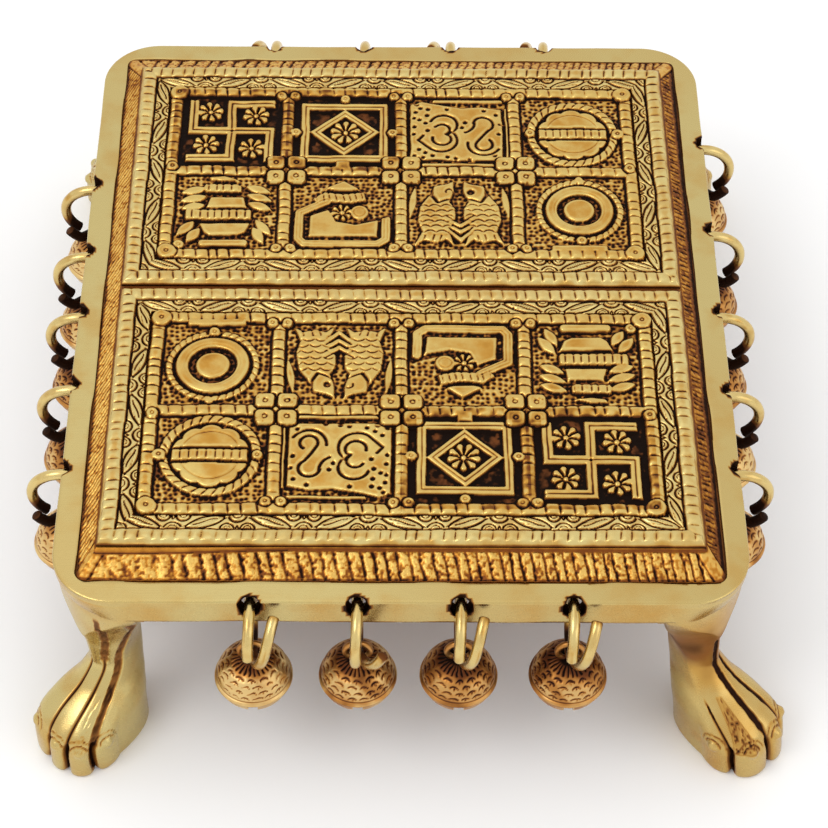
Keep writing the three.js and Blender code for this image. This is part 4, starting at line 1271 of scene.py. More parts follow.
@dataclass
class RibbedBed:
    """Cast tray under the panels: granular ribs in front and behind, tooled slopes at the sides."""

    outer: tuple = (70.4, 83.1)
    inner: tuple = (66.3, 76.3)
    foot_z: float = 54.42
    edge_z: float = 54.9
    shelf_z: float = 57.3
    top_z: float = 57.97
    sheet: float = 1.8
    shoulder: float = 0.06
    wide_shoulder: float = 0.14
    rib_pitch: float = 2.6
    rib_spread: float = 0.0022
    rib_lean: float = 0.22
    step: float = 0.23
    slope_rows: int = 31
    seed: int = 21

    def build(self) -> None:
        """Builds the bed and settles it in the stand."""
        piece = Piece("bed")
        self._slopes(piece)
        self._sheet(piece)
        settle(piece.object(MATERIALS.ribbed), "table", "ribbed_brass", ["ribbed_bed"])

    def _half(self, share: Array) -> tuple:
        """Half the width and half the depth of the slopes' outline at a share of their length."""
        return tuple(a + (b - a) * share for a, b in zip(self.inner, self.outer))

    def _slopes(self, piece: Piece) -> None:
        """Adds the closed ring of slopes round the panels.

        Args:
            piece: The bed.
        """
        share = np.concatenate([[-0.9, -0.9, -0.05, 0.0], np.linspace(0.03, 1.0, self.slope_rows), [1.0]])[:, None]
        clipped = np.clip(share, 0, 1)
        half = self._half(share)
        along, up, wall = lap(2 * self.outer[0], 2 * self.outer[1], self.step)
        x, y = rounded(half[0] * along, half[1] * up, half, 0.8 + 0.8 * clipped)
        clipped = np.broadcast_to(clipped, x.shape)
        shoulder = self._shoulder(x, wall)
        z = np.where(clipped < shoulder,
                     self.top_z - (self.top_z - self.shelf_z) * smooth(clipped / shoulder, 0.2, 1.0),
                     self.shelf_z + (self.edge_z - self.shelf_z) * (clipped - shoulder) / (1 - shoulder))
        rise, darkening = self._pattern(x, y, wall, clipped)
        z += rise
        z[0], z[1], z[-1] = self.top_z - self.sheet, self.top_z - 0.3, self.foot_z
        piece.grid(np.stack([x, y, z], -1), darkening, wrap_rows=True, wrap_columns=True, flip=True)

    def _shoulder(self, x: Array, wall: Array) -> Array:
        """Share of the slope that its smooth shoulder takes: wider at the left end of the front."""
        return self.shoulder + self.wide_shoulder * (wall == Wall.FRONT.value) * (1 - smooth(x, -58.0, -22.0))

    def _pattern(self, x: Array, y: Array, wall: Array, share: Array) -> tuple:
        """Height and darkness of the slopes' tooling, with patina and painted shade in the crease at the rim.

        Args:
            x: First coordinates.
            y: Second coordinates.
            wall: Which side each column lies on.
            share: 0 at the panels, 1 at the rim.

        Returns:
            Heights in millimetres to add to the plain slope, and darkness from 0 to 1.
        """
        grain = Lumps(self.seed)
        speckle, fine = grain.at(x, y, 0.6), grain.at(y + 13, x, 0.3)
        patches = grain.at(x + 5, y, 6.0)
        shoulder = self._shoulder(x, wall)
        slope = smooth(share, shoulder, shoulder + 0.06) * (1 - smooth(share, 0.97, 1.0))
        at_end = wall % 2 == 0
        along, length = np.where(at_end, x, y), np.where(at_end, 6.8, 4.1)
        across = share * length
        ragged = along + 0.22 * grain.at(x, y, 2.4) + 0.14 * speckle
        ribs = Gaps(self.outer[0] + 6, self.rib_pitch, self.seed, 0.14)
        worn = np.where(wall == Wall.FRONT.value, 0.3 + 0.7 * smooth(x, -58.0, -38.0), 1.0)
        from_gap = ribs.distance((ragged - self.rib_lean * across) * (1 + self.rib_spread * x))
        rib_gap = bump(from_gap, 0.28) * worn * (0.8 + 0.3 * patches)
        rib = 0.14 * (1 - bump(from_gap, 0.8)) - 0.45 * rib_gap + 0.13 * speckle + 0.1 * fine
        rib_dirt = 0.9 * rib_gap + 0.42 * smooth(-speckle, -0.1, 0.8) + 0.22 * smooth(-fine, 0.0, 0.9)
        pitch = 0.85
        slant = 0.55 * along + 0.85 * across + 0.25 * grain.at(x, y, 1.6)
        thread = np.abs((slant / pitch) % 1 - 0.5) * pitch
        threads = 0.12 * (1 - bump(thread, 0.2) * 2) + 0.09 * fine + 0.06 * speckle
        thread_dirt = 0.42 * bump(thread, 0.15) + 0.3 * smooth(-speckle, 0.1, 0.9) + 0.12 * smooth(patches, 0.2, 0.8)
        dash = Gaps(self.outer[1] + 2, 1.45, self.seed + 1, 0.22).distance(ragged)
        dash_here = bump(dash, 0.2) * smooth(share, 0.12, 0.22) * (1 - smooth(share, 0.6, 0.75))
        low = smooth(share + 0.08 * speckle, 0.66, 0.86)
        dashes = -0.3 * dash_here - 0.15 * low + 0.1 * speckle + 0.08 * fine
        dash_dirt = (0.5 * dash_here + 0.35 * low + 0.32 + 0.3 * smooth(-speckle, -0.2, 0.8)
                     - 0.16 * smooth(fine, 0.1, 0.8))
        rise = np.choose(wall, [rib, dashes, rib, threads])
        darkening = np.choose(wall, [rib_dirt, dash_dirt, rib_dirt, thread_dirt])
        half_x, half_y = self._half(share)
        from_mitre = np.maximum(half_x - np.abs(x), half_y - np.abs(y))
        leaf = smooth(2.6 - from_mitre, 0, 0.6)
        seam = bump(from_mitre - 2.5, 0.25)
        rise = rise * (1 - leaf) + (0.12 + 0.1 * speckle) * leaf - 0.3 * seam
        darkening = darkening * (1 - leaf) + (0.12 + 0.2 * smooth(-speckle, 0, 0.8)) * leaf + 0.5 * seam
        from_rim = (1 - share) * length
        # Patina and painted shade in the crease at the rim, heavier on the right side; the shoulder and its foot are
        # darkened too.
        edge = bump(np.maximum(from_rim - 0.15 - 0.15 * patches, 0), 0.3 + 0.1 * speckle)
        foot = bump((share - shoulder) * length, 0.22)
        rim_patina_and_shade = np.where(wall == Wall.RIGHT.value, 0.6, 0.42)
        darkening = darkening * slope + rim_patina_and_shade * edge + 0.5 * foot + 0.3 * (share < shoulder)
        return rise * slope - 0.1 * foot, np.clip(darkening, 0, 1)

    def _sheet(self, piece: Piece) -> None:
        """Adds the flat sheet that closes the tray under the panels and shows between them.

        Args:
            piece: The bed.
        """
        half_x, half_y = self.inner[0] - 0.25, self.inner[1] - 0.25
        x, y = np.meshgrid(np.linspace(-half_x, half_x, 24), np.linspace(-half_y, half_y, 30))
        edges = []
        for z, flip in ((self.top_z - 0.02, False), (self.top_z - self.sheet, True)):
            index = piece.grid(np.stack([x, y, np.full(x.shape, z)], -1), np.full(x.shape, 0.55), flip=flip)
            edges.append(piece.outline(index))
        piece.band(*edges)


def blended(table: Array, places: Array) -> Array:
    """Runs smooth curves through a table's rows.

    Args:
        table: Rows of numbers, the first of each row being its place, in rising order.
        places: Places at which the curves are read.

    Returns:
        The other columns at each place: cubic curves whose slope at a row is the lesser of the
        slopes on its two sides, and 0 where those differ in sign, so that nothing overshoots.
    """
    at, values = table[:, 0], table[:, 1:]
    slopes = np.diff(values, axis=0) / np.diff(at)[:, None]
    before, after = np.vstack([slopes[:1], slopes]), np.vstack([slopes, slopes[-1:]])
    lesser = np.where(np.abs(before) < np.abs(after), before, after) * 1.4
    tangent = np.where(before * after > 0, lesser, 0.0)
    i = np.clip(np.searchsorted(at, places) - 1, 0, len(at) - 2)
    span = (at[i + 1] - at[i])[:, None]
    t = ((places - at[i])[:, None] / span).clip(0, 1)
    return (values[i] * (2 * t**3 - 3 * t**2 + 1) + tangent[i] * span * (t**3 - 2 * t**2 + t)
            + values[i + 1] * (3 * t**2 - 2 * t**3) + tangent[i + 1] * span * (t**3 - t**2))


def normals(points: Array) -> Array:
    """Normals of a grid surface that is closed along its rows.

    Args:
        points: Places, shaped rows by columns by 3.

    Returns:
        Of each point the cross product of the differences along its row and its column, made one long.
    """
    along = np.roll(points, -1, axis=1) - np.roll(points, 1, axis=1)
    up = np.gradient(points, axis=0)
    across = np.cross(along, up)
    return across / np.maximum(np.linalg.norm(across, axis=-1, keepdims=True), 1e-9)


@dataclass(frozen=True)
class Hanger:
    """Place of one ring on the wall, in a local frame with X outwards and Z up."""

    wall: Wall
    number: int
    x: float
    y: float

    @property
    def name(self) -> str:
        """The wall and the number on it, which end the names of what hangs here."""
        return f"{self.wall.name.lower()}_{self.number}"

    @property
    def turn(self) -> float:
        """Angle from the table's X axis to the outward direction, in radians."""
        return (self.wall.value - 1) * math.pi / 2

    def matrix(self) -> Matrix:
        """Turns the local frame onto the wall and moves it there, in metres."""
        place = Vector((self.x * MM, self.y * MM, RIM_Z * MM))
        return Matrix.Translation(place) @ Matrix.Rotation(self.turn, 4, "Z")


def hangers() -> list:
    """Lists the places of the rings.

    Returns:
        Four hangers in front, four behind, and five at each side.
    """
    ends = (-0.43, -0.125, 0.17, 0.49)
    places = []
    for wall, y in ((Wall.FRONT, -HALF_DEPTH), (Wall.REAR, HALF_DEPTH)):
        places += [Hanger(wall, number, share * HALF_WIDTH, y) for number, share in enumerate(ends, 1)]
    for wall, x, shares in ((Wall.LEFT, -HALF_WIDTH, (0.427, 0.17, -0.052, -0.306, -0.585)),
                            (Wall.RIGHT, HALF_WIDTH, (0.602, 0.261, -0.042, -0.318, -0.58))):
        places += [Hanger(wall, number, x, share * HALF_DEPTH) for number, share in enumerate(shares, 1)]
    return places


def cut(thing: bpy.types.Object, cutter: bpy.types.Object) -> None:
    """Takes the cutter's shape out of a thing for good, and removes the cutter.

    Args:
        thing: The thing that is cut.
        cutter: A closed shape.
    """
    modifier = thing.modifiers.new("cut", "BOOLEAN")
    modifier.operation = "DIFFERENCE"
    modifier.solver = "MANIFOLD"
    modifier.object = cutter
    graph = bpy.context.evaluated_depsgraph_get()
    mesh = bpy.data.meshes.new_from_object(thing.evaluated_get(graph))
    thing.modifiers.clear()
    thing.data = mesh
    bpy.data.objects.remove(cutter)


@dataclass
class Stand:
    """Rim, skirt and ledge in one casting, drilled for the rings."""

    half: tuple = (HALF_WIDTH, HALF_DEPTH)
    corner: float = 14.0
    top_z: float = RIM_Z
    skirt_z: float = 47.5
    rim: float = 5.5
    rim_under_z: float = 52.4
    skirt: float = 3.0
    ledge: float = 11.7
    ledge_z: float = 54.38
    recess_corner: float = 2.3
    arris: float = 0.45
    step: float = 0.9
    hole_radius: float = 2.55
    hole_length: float = 14.0
    hole_inset: float = 1.2
    hole_drop: float = 2.7
    hole_slope: float = 38.0
    socket_depth: float = 2.3
    bore_radius: float = 1.9
    bore_drop: float = 3.0
    draft: float = 1.1
    seed: int = 31

    def drawn_in(self, from_corner: Array, z: Array) -> Array:
        """How far the wall leans in towards a leg: draft times the square of the fall below the rim."""
        fall = np.clip((self.top_z - 1.0 - z) / (self.top_z - 1.0 - self.skirt_z), 0, 1)
        return self.draft * (1 - smooth(from_corner, 8.0, 17.0)) * fall**2

    def _profile(self) -> Array:
        """Works out the section from the skirt's lower edge over the rim and back under the ledge.

        Returns:
            Rows of inset from the wall, height, corner radius and darkness, that is patina and painted shade.
        """
        a, r = self.arris, self.corner
        # Painted shade: the skirt is darker than the rim's top, as if it reflected a dimmer room, and darkest at its
        # lower edge.
        rows = [(0.25, self.skirt_z, r, 0.3), (0.0, self.skirt_z + 0.3, r, 0.16)]
        rows += [(0.0, z, r, 0.1) for z in np.linspace(self.skirt_z + 0.9, self.top_z - a - 0.1, 9)]
        rows += [(a * (1 - math.cos(t)), self.top_z - a * (1 - math.sin(t)), r - 0.3, 0.02)
                 for t in np.linspace(0.2, math.pi / 2, 5)]
        for share in np.linspace(0.1, 1.0, 8):
            inset = a + (self.rim - 0.3 - a) * share
            rows.append((inset, self.top_z, r + (self.recess_corner + 0.3 - r) * inset / self.rim, 0.0))
        # Patina and painted shade at the step into the recess, on the ledge and under the rim.
        rows += [(self.rim - 0.08, self.top_z - 0.07, self.recess_corner, 0.15),
                 (self.rim, self.top_z - 0.25, self.recess_corner, 0.5),
                 (self.rim, self.ledge_z, self.recess_corner, 0.7), (self.ledge, self.ledge_z, 1.0, 0.7),
                 (self.ledge, self.rim_under_z, 1.0, 0.5), (self.skirt, self.rim_under_z, r - self.skirt, 0.5),
                 (self.skirt, self.skirt_z + 0.2, r - self.skirt, 0.4),
                 (self.skirt - 0.2, self.skirt_z, r - self.skirt, 0.35)]
        return np.array(rows)

    def _plan(self, along: Array, up: Array, inset: Array, radius: Array) -> tuple:
        """Places of the section's rows round the table, from shares of its sides."""
        half_x, half_y = self.half[0] - inset, self.half[1] - inset
        return rounded(half_x * along, half_y * up, (half_x, half_y), radius)

    def frame(self) -> bpy.types.Object:
        """Sweeps the section round the table and drills the holes.

        Returns:
            The object.
        """
        rows = self._profile()
        inset, z, radius = (rows[:, k:k + 1] for k in range(3))
        along, up, _ = lap(2 * self.half[0], 2 * self.half[1], self.step)
        waves = Lumps(self.seed)
        wave = waves.at(along * 9, up * 9, 1.0)
        near_rim = (np.abs(inset - self.rim) < 0.1) & (z > self.ledge_z)
        from_corner = np.hypot((1 - np.abs(along)) * self.half[0], (1 - np.abs(up)) * self.half[1])
        calm = smooth(from_corner, 16.0, 30.0)
        outside = inset < 0.6
        inset = inset + 0.22 * wave * near_rim - 0.12 * calm * waves.at(up * 7, along * 7, 1.0) * outside
        x, y = self._plan(along, up, inset, radius)
        real = np.hypot(self.half[0] - np.abs(x), self.half[1] - np.abs(y))
        x, y = self._plan(along, up, inset + outside * self.drawn_in(real, z), radius)
        height = z + 0.18 * calm * waves.at(along * 6 + 9, up * 6, 1.0) * (z < self.skirt_z + 0.4) + 0 * x
        # Darkness of each row, patina and painted shade, with uneven spots where it is above 0.05.
        darkening = rows[:, 3:4] + 0.08 * waves.at(x, y, 9.0) * (rows[:, 3:4] > 0.05)
        piece = Piece("stand_frame")
        piece.grid(np.stack([x, y, height], -1), np.clip(darkening, 0, 1), wrap_rows=True, wrap_columns=True)
        thing = piece.object(MATERIALS.stand)
        for cutter in (self._sockets(), self._bores()):
            cut(thing, cutter)
        self._darken_holes(thing.data)
        thing.data.set_sharp_from_angle(angle=math.radians(50))
        return thing

    def _darken_holes(self, mesh: bpy.types.Mesh) -> None:
        """Paints shade into the holes: blackens their walls and burrs, every point within 1.1 radii of a drill's
        axis.

        Args:
            mesh: Mesh of the frame, which is changed.
        """
        count = len(mesh.vertices)
        flat, darkening = np.empty(3 * count, np.float32), np.empty(count, np.float32)
        mesh.vertices.foreach_get("co", flat)
        mesh.attributes["patina"].data.foreach_get("value", darkening)
        points = flat.reshape(-1, 3) / MM
        slope = math.radians(self.hole_slope)
        for hanger in hangers():
            outwards = np.array([math.cos(hanger.turn), math.sin(hanger.turn), 0.0])
            axis = outwards * math.cos(slope) + np.array([0, 0, math.sin(slope)])
            start = np.array([hanger.x, hanger.y, self.top_z - self.hole_drop]) - self.hole_inset * outwards
            offset = points - start
            far = np.linalg.norm(offset - (offset @ axis)[:, None] * axis, axis=1)
            near = (far < 1.1 * self.hole_radius) & (np.linalg.norm(offset, axis=1) < 8.0)
            # Painted shade: the holes' walls and edges go black.
            darkening[near] = np.maximum(darkening[near], 1.0)
        mesh.attributes["patina"].data.foreach_set("value", darkening)

    @staticmethod
    def _cutter(name: str, tubes: list) -> bpy.types.Object:
        """Puts one tube at each hanger, its walls painted nearly black as the shade inside a hole.

        Args:
            name: Name of the cutter.
            tubes: Points of each tube in its hanger's frame.

        Returns:
            The cutter.
        """
        piece = Piece(name)
        for tube, hanger in zip(tubes, hangers()):
            piece.tube(moved(tube, hanger.turn, (hanger.x, hanger.y, RIM_Z)), np.full(tube.shape[:2], 0.95))
        return piece.object(MATERIALS.stand)

    def _sockets(self) -> bpy.types.Object:
        """Makes the slanting drills, slightly uneven, that stop at a flat face in the skirt.

        Returns:
            The cutter.
        """
        turn = circle(32)
        slope = math.radians(self.hole_slope)
        axis = np.array([math.cos(slope), 0, math.sin(slope)])
        side, over = np.array([0.0, 1.0, 0.0]), np.array([-math.sin(slope), 0, math.cos(slope)])
        middle = np.array([-self.hole_inset, 0, -self.hole_drop])
        tubes = []
        for number in range(len(hangers())):
            radius = self.hole_radius * (1 + 0.05 * np.sin(3 * turn + number) + 0.04 * np.sin(7 * turn + 2 * number))
            ring = radius[:, None] * (np.cos(turn)[:, None] * side + np.sin(turn)[:, None] * over)
            start = middle + ring
            inner = start + ((-self.socket_depth - start[:, :1]) / axis[0]) * axis
            tubes.append(np.stack([inner, start + self.hole_length / 2 * axis]))
        return self._cutter("sockets", tubes)

    def _bores(self) -> bpy.types.Object:
        """Makes the level bores from the sockets through the skirt, just wider than the wire.

        Returns:
            The cutter.
        """
        turn = circle(24)
        ring = np.stack([0 * turn, np.cos(turn), np.sin(turn)], -1) * self.bore_radius
        inner, outer = np.array([-self.rim, 0, -self.bore_drop]), np.array([-1.0, 0, -self.bore_drop])
        return self._cutter("bores", [np.stack([ring + inner, ring + outer])] * len(hangers()))

    def build(self) -> None:
        """Builds the frame and the four legs, all of them standing for the one casting."""
        settle(self.frame(), "table", "polished_brass", ["stand"])
        for number, (side_x, side_y) in enumerate(((1, -1), (1, 1), (-1, 1), (-1, -1))):
            for thing in Leg(side_x, side_y, self, seed=41 + number).objects():
                settle(thing, "table", "polished_brass", ["stand"])


@dataclass(frozen=True)
class Groove:
    """One groove of a leg: a channel from the top, then a line that ends in a notch between two toes."""

    turn: float
    rise: float
    top: float
    end: float
    width: float
    shade: float


@dataclass
class Leg:
    """Lion's paw leg, lofted along the diagonal of its corner.

    Each level is a superellipse: |along / reach| ** e + |across / side| ** e = 1, the reach being
    that of the toes in front and of the heel behind.
    """

    side_x: int
    side_y: int
    stand: Stand
    seed: int
    angles: int = 176
    levels: int = 150
    notch_width: float = 0.7
    notch_depth: float = 1.7
    line_width: float = 0.3
    line_depth: float = 0.35
    toe_top: float = 8.6
    claw: float = 1.7
    fur_depth: float = 0.25
    fillet: float = 3.2
    knee: float = 17.2
    ankle: float = 24.0
    lean: float = 3.0

    # Height, tip and heel along the diagonal, side, share of the notches and exponent
    LEVELS = (
        (0.0, 7.75, 17.6, 8.88, 0.7, 2.4), (0.96, 8.6, 17.6, 9.3, 1.0, 2.5), (6.48, 8.26, 17.97, 9.3, 1.0, 2.5),
        (10.56, 6.91, 18.8, 9.07, 0.93, 2.4), (14.4, 2.84, 19.9, 7.89, 0.85, 2.2),
        (18.72, -4.27, 21.19, 5.63, 0.7, 1.9), (24.0, -8.34, 22.2, 4.6, 0.6, 1.7),
        (31.05, -8.19, 22.92, 5.99, 0.5, 1.5), (37.87, -6.3, 23.93, 8.9, 0.4, 1.3),
        (42.5, -3.0, 24.4, 10.9, 0.2, 1.2), (45.5, -1.2, 25.0, 12.2, 0.1, 1.15),
        (47.5, -0.5, 25.46, 12.9, 0.0, 1.1), (53.6, 0.0, 24.6, 12.9, 0.0, 1.1),
    )
    BROAD = (Groove(-6.0, -10.0, 27.0, 24.0, 0.4, 0.5), Groove(27.0, 14.0, 46.0, 25.0, 1.0, 0.6),
             Groove(64.0, 24.0, 45.5, 9.0, 1.1, 0.62))
    NARROW = (Groove(-38.0, 4.0, 31.0, 14.0, 0.6, 0.9), Groove(0.0, 0.0, 34.0, 12.0, 0.75, 0.95),
              Groove(58.0, 44.0, 17.5, 15.0, 0.4, 0.95))
    ENDS = (-72.0, 108.0)

    def __post_init__(self) -> None:
        """Names the leg and picks its grooves: broad and narrow paws take turns round the table."""
        self.name = ("front" if self.side_y < 0 else "rear") + ("_right" if self.side_x > 0 else "_left")
        self.hand = self.side_x * self.side_y
        self.broad = self.hand > 0
        self.grooves = self.BROAD if self.broad else self.NARROW
        self.lumps = Lumps(self.seed)

    def objects(self) -> list:
        """Builds the loft and the two fillets under the skirt."""
        return [self.loft(), self.fillets()]

    def _surface(self) -> tuple:
        """Works out the plain surface of the leg in its own frame.

        Returns:
            Its points, and of each the angle, the share of the notches and the radius.
        """
        table = np.array(self.LEVELS)
        heights = np.concatenate([np.linspace(0, 0.5, 4)[:-1], np.linspace(0.5, 53.6, self.levels)])
        tip, heel, side, groove, power = (column[:, None] for column in blended(table, heights).T)
        share = np.linspace(-1, 1, self.angles + 1)[:-1]
        angle = np.pi * (0.66 * share + 0.34 * share**3)[None, :]
        middle = tip - side
        reach = np.where(np.cos(angle) > 0, side, middle + heel)
        radius = (np.abs(np.cos(angle) / reach) ** power + np.abs(np.sin(angle) / side) ** power) ** (-1 / power)
        z = np.broadcast_to(heights[:, None], radius.shape)
        points = np.stack([middle + radius * np.cos(angle), radius * np.sin(angle), z], -1)
        return points, np.broadcast_to(angle, radius.shape), groove, radius

    def _grooves(self, angle: Array, z: Array, share: Array, radius: Array) -> tuple:
        """Grooves down the leg and notches between the toes.

        Args:
            angle: Angle of each point round the leg.
            z: Height of each point.
            share: How deep the notches are at each height, 0 to 1.
            radius: Distance of each point from the middle of its level.

        Returns:
            How far each point is pushed out, and darkness from 0 to 1.
        """
        lumps = self.lumps
        push, darkening = np.zeros(angle.shape), np.zeros(angle.shape)
        for number, groove in enumerate(self.grooves):
            line = np.radians(groove.turn + groove.rise * smooth(z, 8, 34)) * self.hand
            sway = line + 0.03 * lumps.at(z, z * 0 + number * 7, 5.0)
            away = np.abs(angle - sway) * radius
            ragged = away + 0.12 * lumps.at(z * 2, away, 0.8)
            upper = (1 - smooth(z, groove.top - 2.0, groove.top)) * smooth(z, groove.end - 1, groove.end + 1)
            below = 1 - smooth(z, groove.end - 1, groove.end + 1)
            toe = 1 - smooth(z, self.toe_top, self.toe_top + 2.0)
            channel = smooth(groove.width * 1.25 - ragged, 0, groove.width * 0.7)
            rough = 1 + 0.5 * lumps.at(z, away, 0.7)
            push -= upper * channel * 0.5 * rough
            darkening += upper * channel * groove.shade * (0.8 + 0.3 * rough)
            push -= below * self.line_depth * bump(away, self.line_width)
            darkening += below * 0.85 * bump(away, self.line_width * 1.2)
            push -= toe * share * self.notch_depth * bump(away, self.notch_width)
            darkening += toe * 0.9 * bump(away, self.notch_width * 0.9)
        return push, darkening

    def _claws(self, points: Array, turned: Array, push: Array, darkening: Array) -> None:
        """Swells each toe, raises its claw and cuts two arcs behind it.

        Args:
            points: Plain surface of the leg.
            turned: Angle of each point in degrees, the same way round on every leg.
            push: How far each point is pushed out, changed in place.
            darkening: Darkness of each point, changed in place.
        """
        z = points[..., 2]
        row = int(np.argmin(np.abs(z[:, 0] - self.toe_top)))
        turns = [self.ENDS[0], *(groove.turn for groove in self.grooves), self.ENDS[1]]
        for start, end in zip(turns[:-1], turns[1:]):
            middle, half = (start + end) / 2, (end - start) / 2
            column = int(np.argmin(np.abs(turned[0] - middle)))
            away = np.linalg.norm(points - points[row, column], axis=-1)
            own = smooth(half - np.abs(turned - middle), 1.0, 7.0)
            crown = np.clip(1 - ((turned - middle) / half) ** 2, 0, 1)
            push += 0.75 * crown * (1 - smooth(z, 8.5, 15.0))
            push += (0.5 if self.broad else 0.8) * smooth(self.claw - away, 0, 1.3) * own
            for reach, dark in ((self.claw + 0.15, 0.6), (self.claw + 1.3, 0.4)):
                line = bump(away - reach - 0.2 * self.lumps.at(turned, z, 4.0), 0.18) * own
                line = line * smooth(z, self.toe_top + 0.1, self.toe_top + 0.6)
                push -= 0.25 * line
                darkening += dark * line

    def _fur(self, points: Array, turned: Array, radius: Array, push: Array, darkening: Array) -> None:
        """Pits a patch of fur above the toes.

        Args:
            points: Plain surface of the leg.
            turned: Angle of each point in degrees, the same way round on every leg.
            radius: Distance of each point from the middle of its level.
            push: How far each point is pushed out, changed in place.
            darkening: Darkness of each point, changed in place.
        """
        x, z = points[..., 0], points[..., 2]
        spot, spread, shown = (46.0, 0.1, 0.35) if self.broad else (36.0, 0.27, 1.0)
        patch = np.maximum(np.abs(np.radians(turned - spot)) * radius - spread * (17.5 - z) - 0.5,
                           np.maximum(z - 17.6, 8.8 - z))
        pits = self.lumps.at(np.radians(turned) * radius, 0.8 * (x - z), 0.42)
        fur = smooth(-patch, 0, 0.3) * smooth(pits, 0.1, 0.6)
        push -= self.fur_depth * fur
        edge = 0.25 * bump(patch - 0.1, 0.16) * (z < 18.1) * (z > 8)
        darkening += shown * (0.42 * fur + 0.14 * smooth(-patch, 0, 0.3) + edge)

    def loft(self) -> bpy.types.Object:
        """Builds the leg: grooves between the toes, claws with arcs behind them, a patch of fur.

        Returns:
            Its object.
        """
        points, angle, share, radius = self._surface()
        out, x, z = normals(points), points[..., 0], points[..., 2]
        turned = np.degrees(angle) * self.hand
        push, darkening = self._grooves(angle, z, share, radius)
        self._claws(points, turned, push, darkening)
        self._fur(points, turned, radius, push, darkening)
        points = points + push[..., None] * out
        points[..., 2] = np.maximum(points[..., 2], 0.0)
        # Painted shade: the legs on the right are darker all over than those on the left, and darker still round the
        # shank.
        side_shade, shade = (0.0, 0.0) if self.side_x < 0 else (0.13, 0.5)
        darkening = np.clip(darkening, 0, 1) + side_shade + 0.08 * smooth(self.lumps.at(x, z, 6.0), 0.1, 0.8)
        # Near the top each leg takes the skirt's painted shade.
        darkening += (0.1 - side_shade) * smooth(z, 43, 48)
        darkening += shade * (bump(z - 32, 8.0) * (0.7 + 0.5 * self.lumps.at(turned / 9, z, 5.0)))
        places = self._flush(self._placed(points))
        if self.side_y < 0:
            places[..., 0] += self.lean * smooth(places[..., 2], 46.0, -10.0)
        piece = Piece(f"leg_{self.name}")
        piece.tube(places, np.clip(darkening, 0, 1))
        return piece.object(MATERIALS.stand, crease=60)

    def _placed(self, points: Array) -> Array:
        """Turns the leg's own frame onto the diagonal of its corner.

        Args:
            points: Places in the leg's frame.

        Returns:
            The places in the table's frame.
        """
        turn = math.atan2(self.side_y, self.side_x)
        c, s = math.cos(turn), math.sin(turn)
        return np.stack([self.side_x * self.stand.half[0] + c * points[..., 0] - s * points[..., 1],
                         self.side_y * self.stand.half[1] + s * points[..., 0] + c * points[..., 1],
                         points[..., 2]], -1)

    def _flush(self, points: Array) -> Array:
        """Draws the part above the ankle in to the table's wall, and under its skin near the top.

        Args:
            points: Places in the table's frame.

        Returns:
            The places, those above the ankle no further out than the wall.
        """
        corner, z = self.stand.corner, points[..., 2]
        limit = -0.03 + 0.08 * smooth(z, 52.9, 53.6)
        bound = np.ones((*limit.shape, 1)) * np.array(self.stand.half)
        plan = np.minimum(np.abs(points[..., :2]), bound)
        over = np.maximum(plan - (bound - corner), 0)
        length = np.maximum(np.hypot(over[..., 0], over[..., 1]), 1e-9)
        inwards = np.minimum(corner / length, 1)[..., None]
        from_corner = np.linalg.norm(bound - (plan - over * (1 - inwards)), axis=-1)
        bound -= (limit + self.stand.drawn_in(from_corner, z))[..., None]
        flat = np.minimum(np.abs(points[..., :2]), bound)
        over = flat - (bound - corner)
        length = np.hypot(over[..., 0], over[..., 1])
        round_off = (over[..., 0] > 0) & (over[..., 1] > 0) & (length > corner)
        pulled = (bound - corner) + over * (corner / np.maximum(length, 1e-9))[..., None]
        flat = np.where(round_off[..., None], pulled, flat)
        plan = np.where((z > self.ankle)[..., None], np.sign(points[..., :2]) * flat, points[..., :2])
        return np.concatenate([plan, points[..., 2:]], -1)

    def fillets(self) -> bpy.types.Object:
        """Fills the corners between the skirt's lower edge and the leg with concave quarter rounds.

        Returns:
            The two fillets as one object.
        """
        t = np.linspace(0, np.pi / 2, 14)
        level = 0 * t - 0.8
        away, down = self.fillet * (1 - np.sin(t)), self.fillet * (1 - np.cos(t))
        along, drop = (np.stack([level, edge, edge, level], -1) for edge in (away, down))
        inner = self.stand.skirt - 0.1
        sink = np.array([0.05, 0.05, inner, inner]) + np.clip(drop, 0, None) * 0.62
        sides = (self.side_x, self.side_y)
        piece = Piece(f"fillets_{self.name}")
        for axis in (0, 1):
            wall = np.empty((len(t), 4, 3))
            wall[..., axis] = sides[axis] * (self.stand.half[axis] - self.knee - along)
            wall[..., 1 - axis] = sides[1 - axis] * (self.stand.half[1 - axis] - sink)
            wall[..., 2] = self.stand.skirt_z - drop
            piece.tube(wall, np.full(wall.shape[:2], 0.14), flip=self.hand * (1 if axis else -1) < 0)
        return piece.object(MATERIALS.stand, crease=40)


# --- Rings, bells and pellets -----------------------------------------------------------------


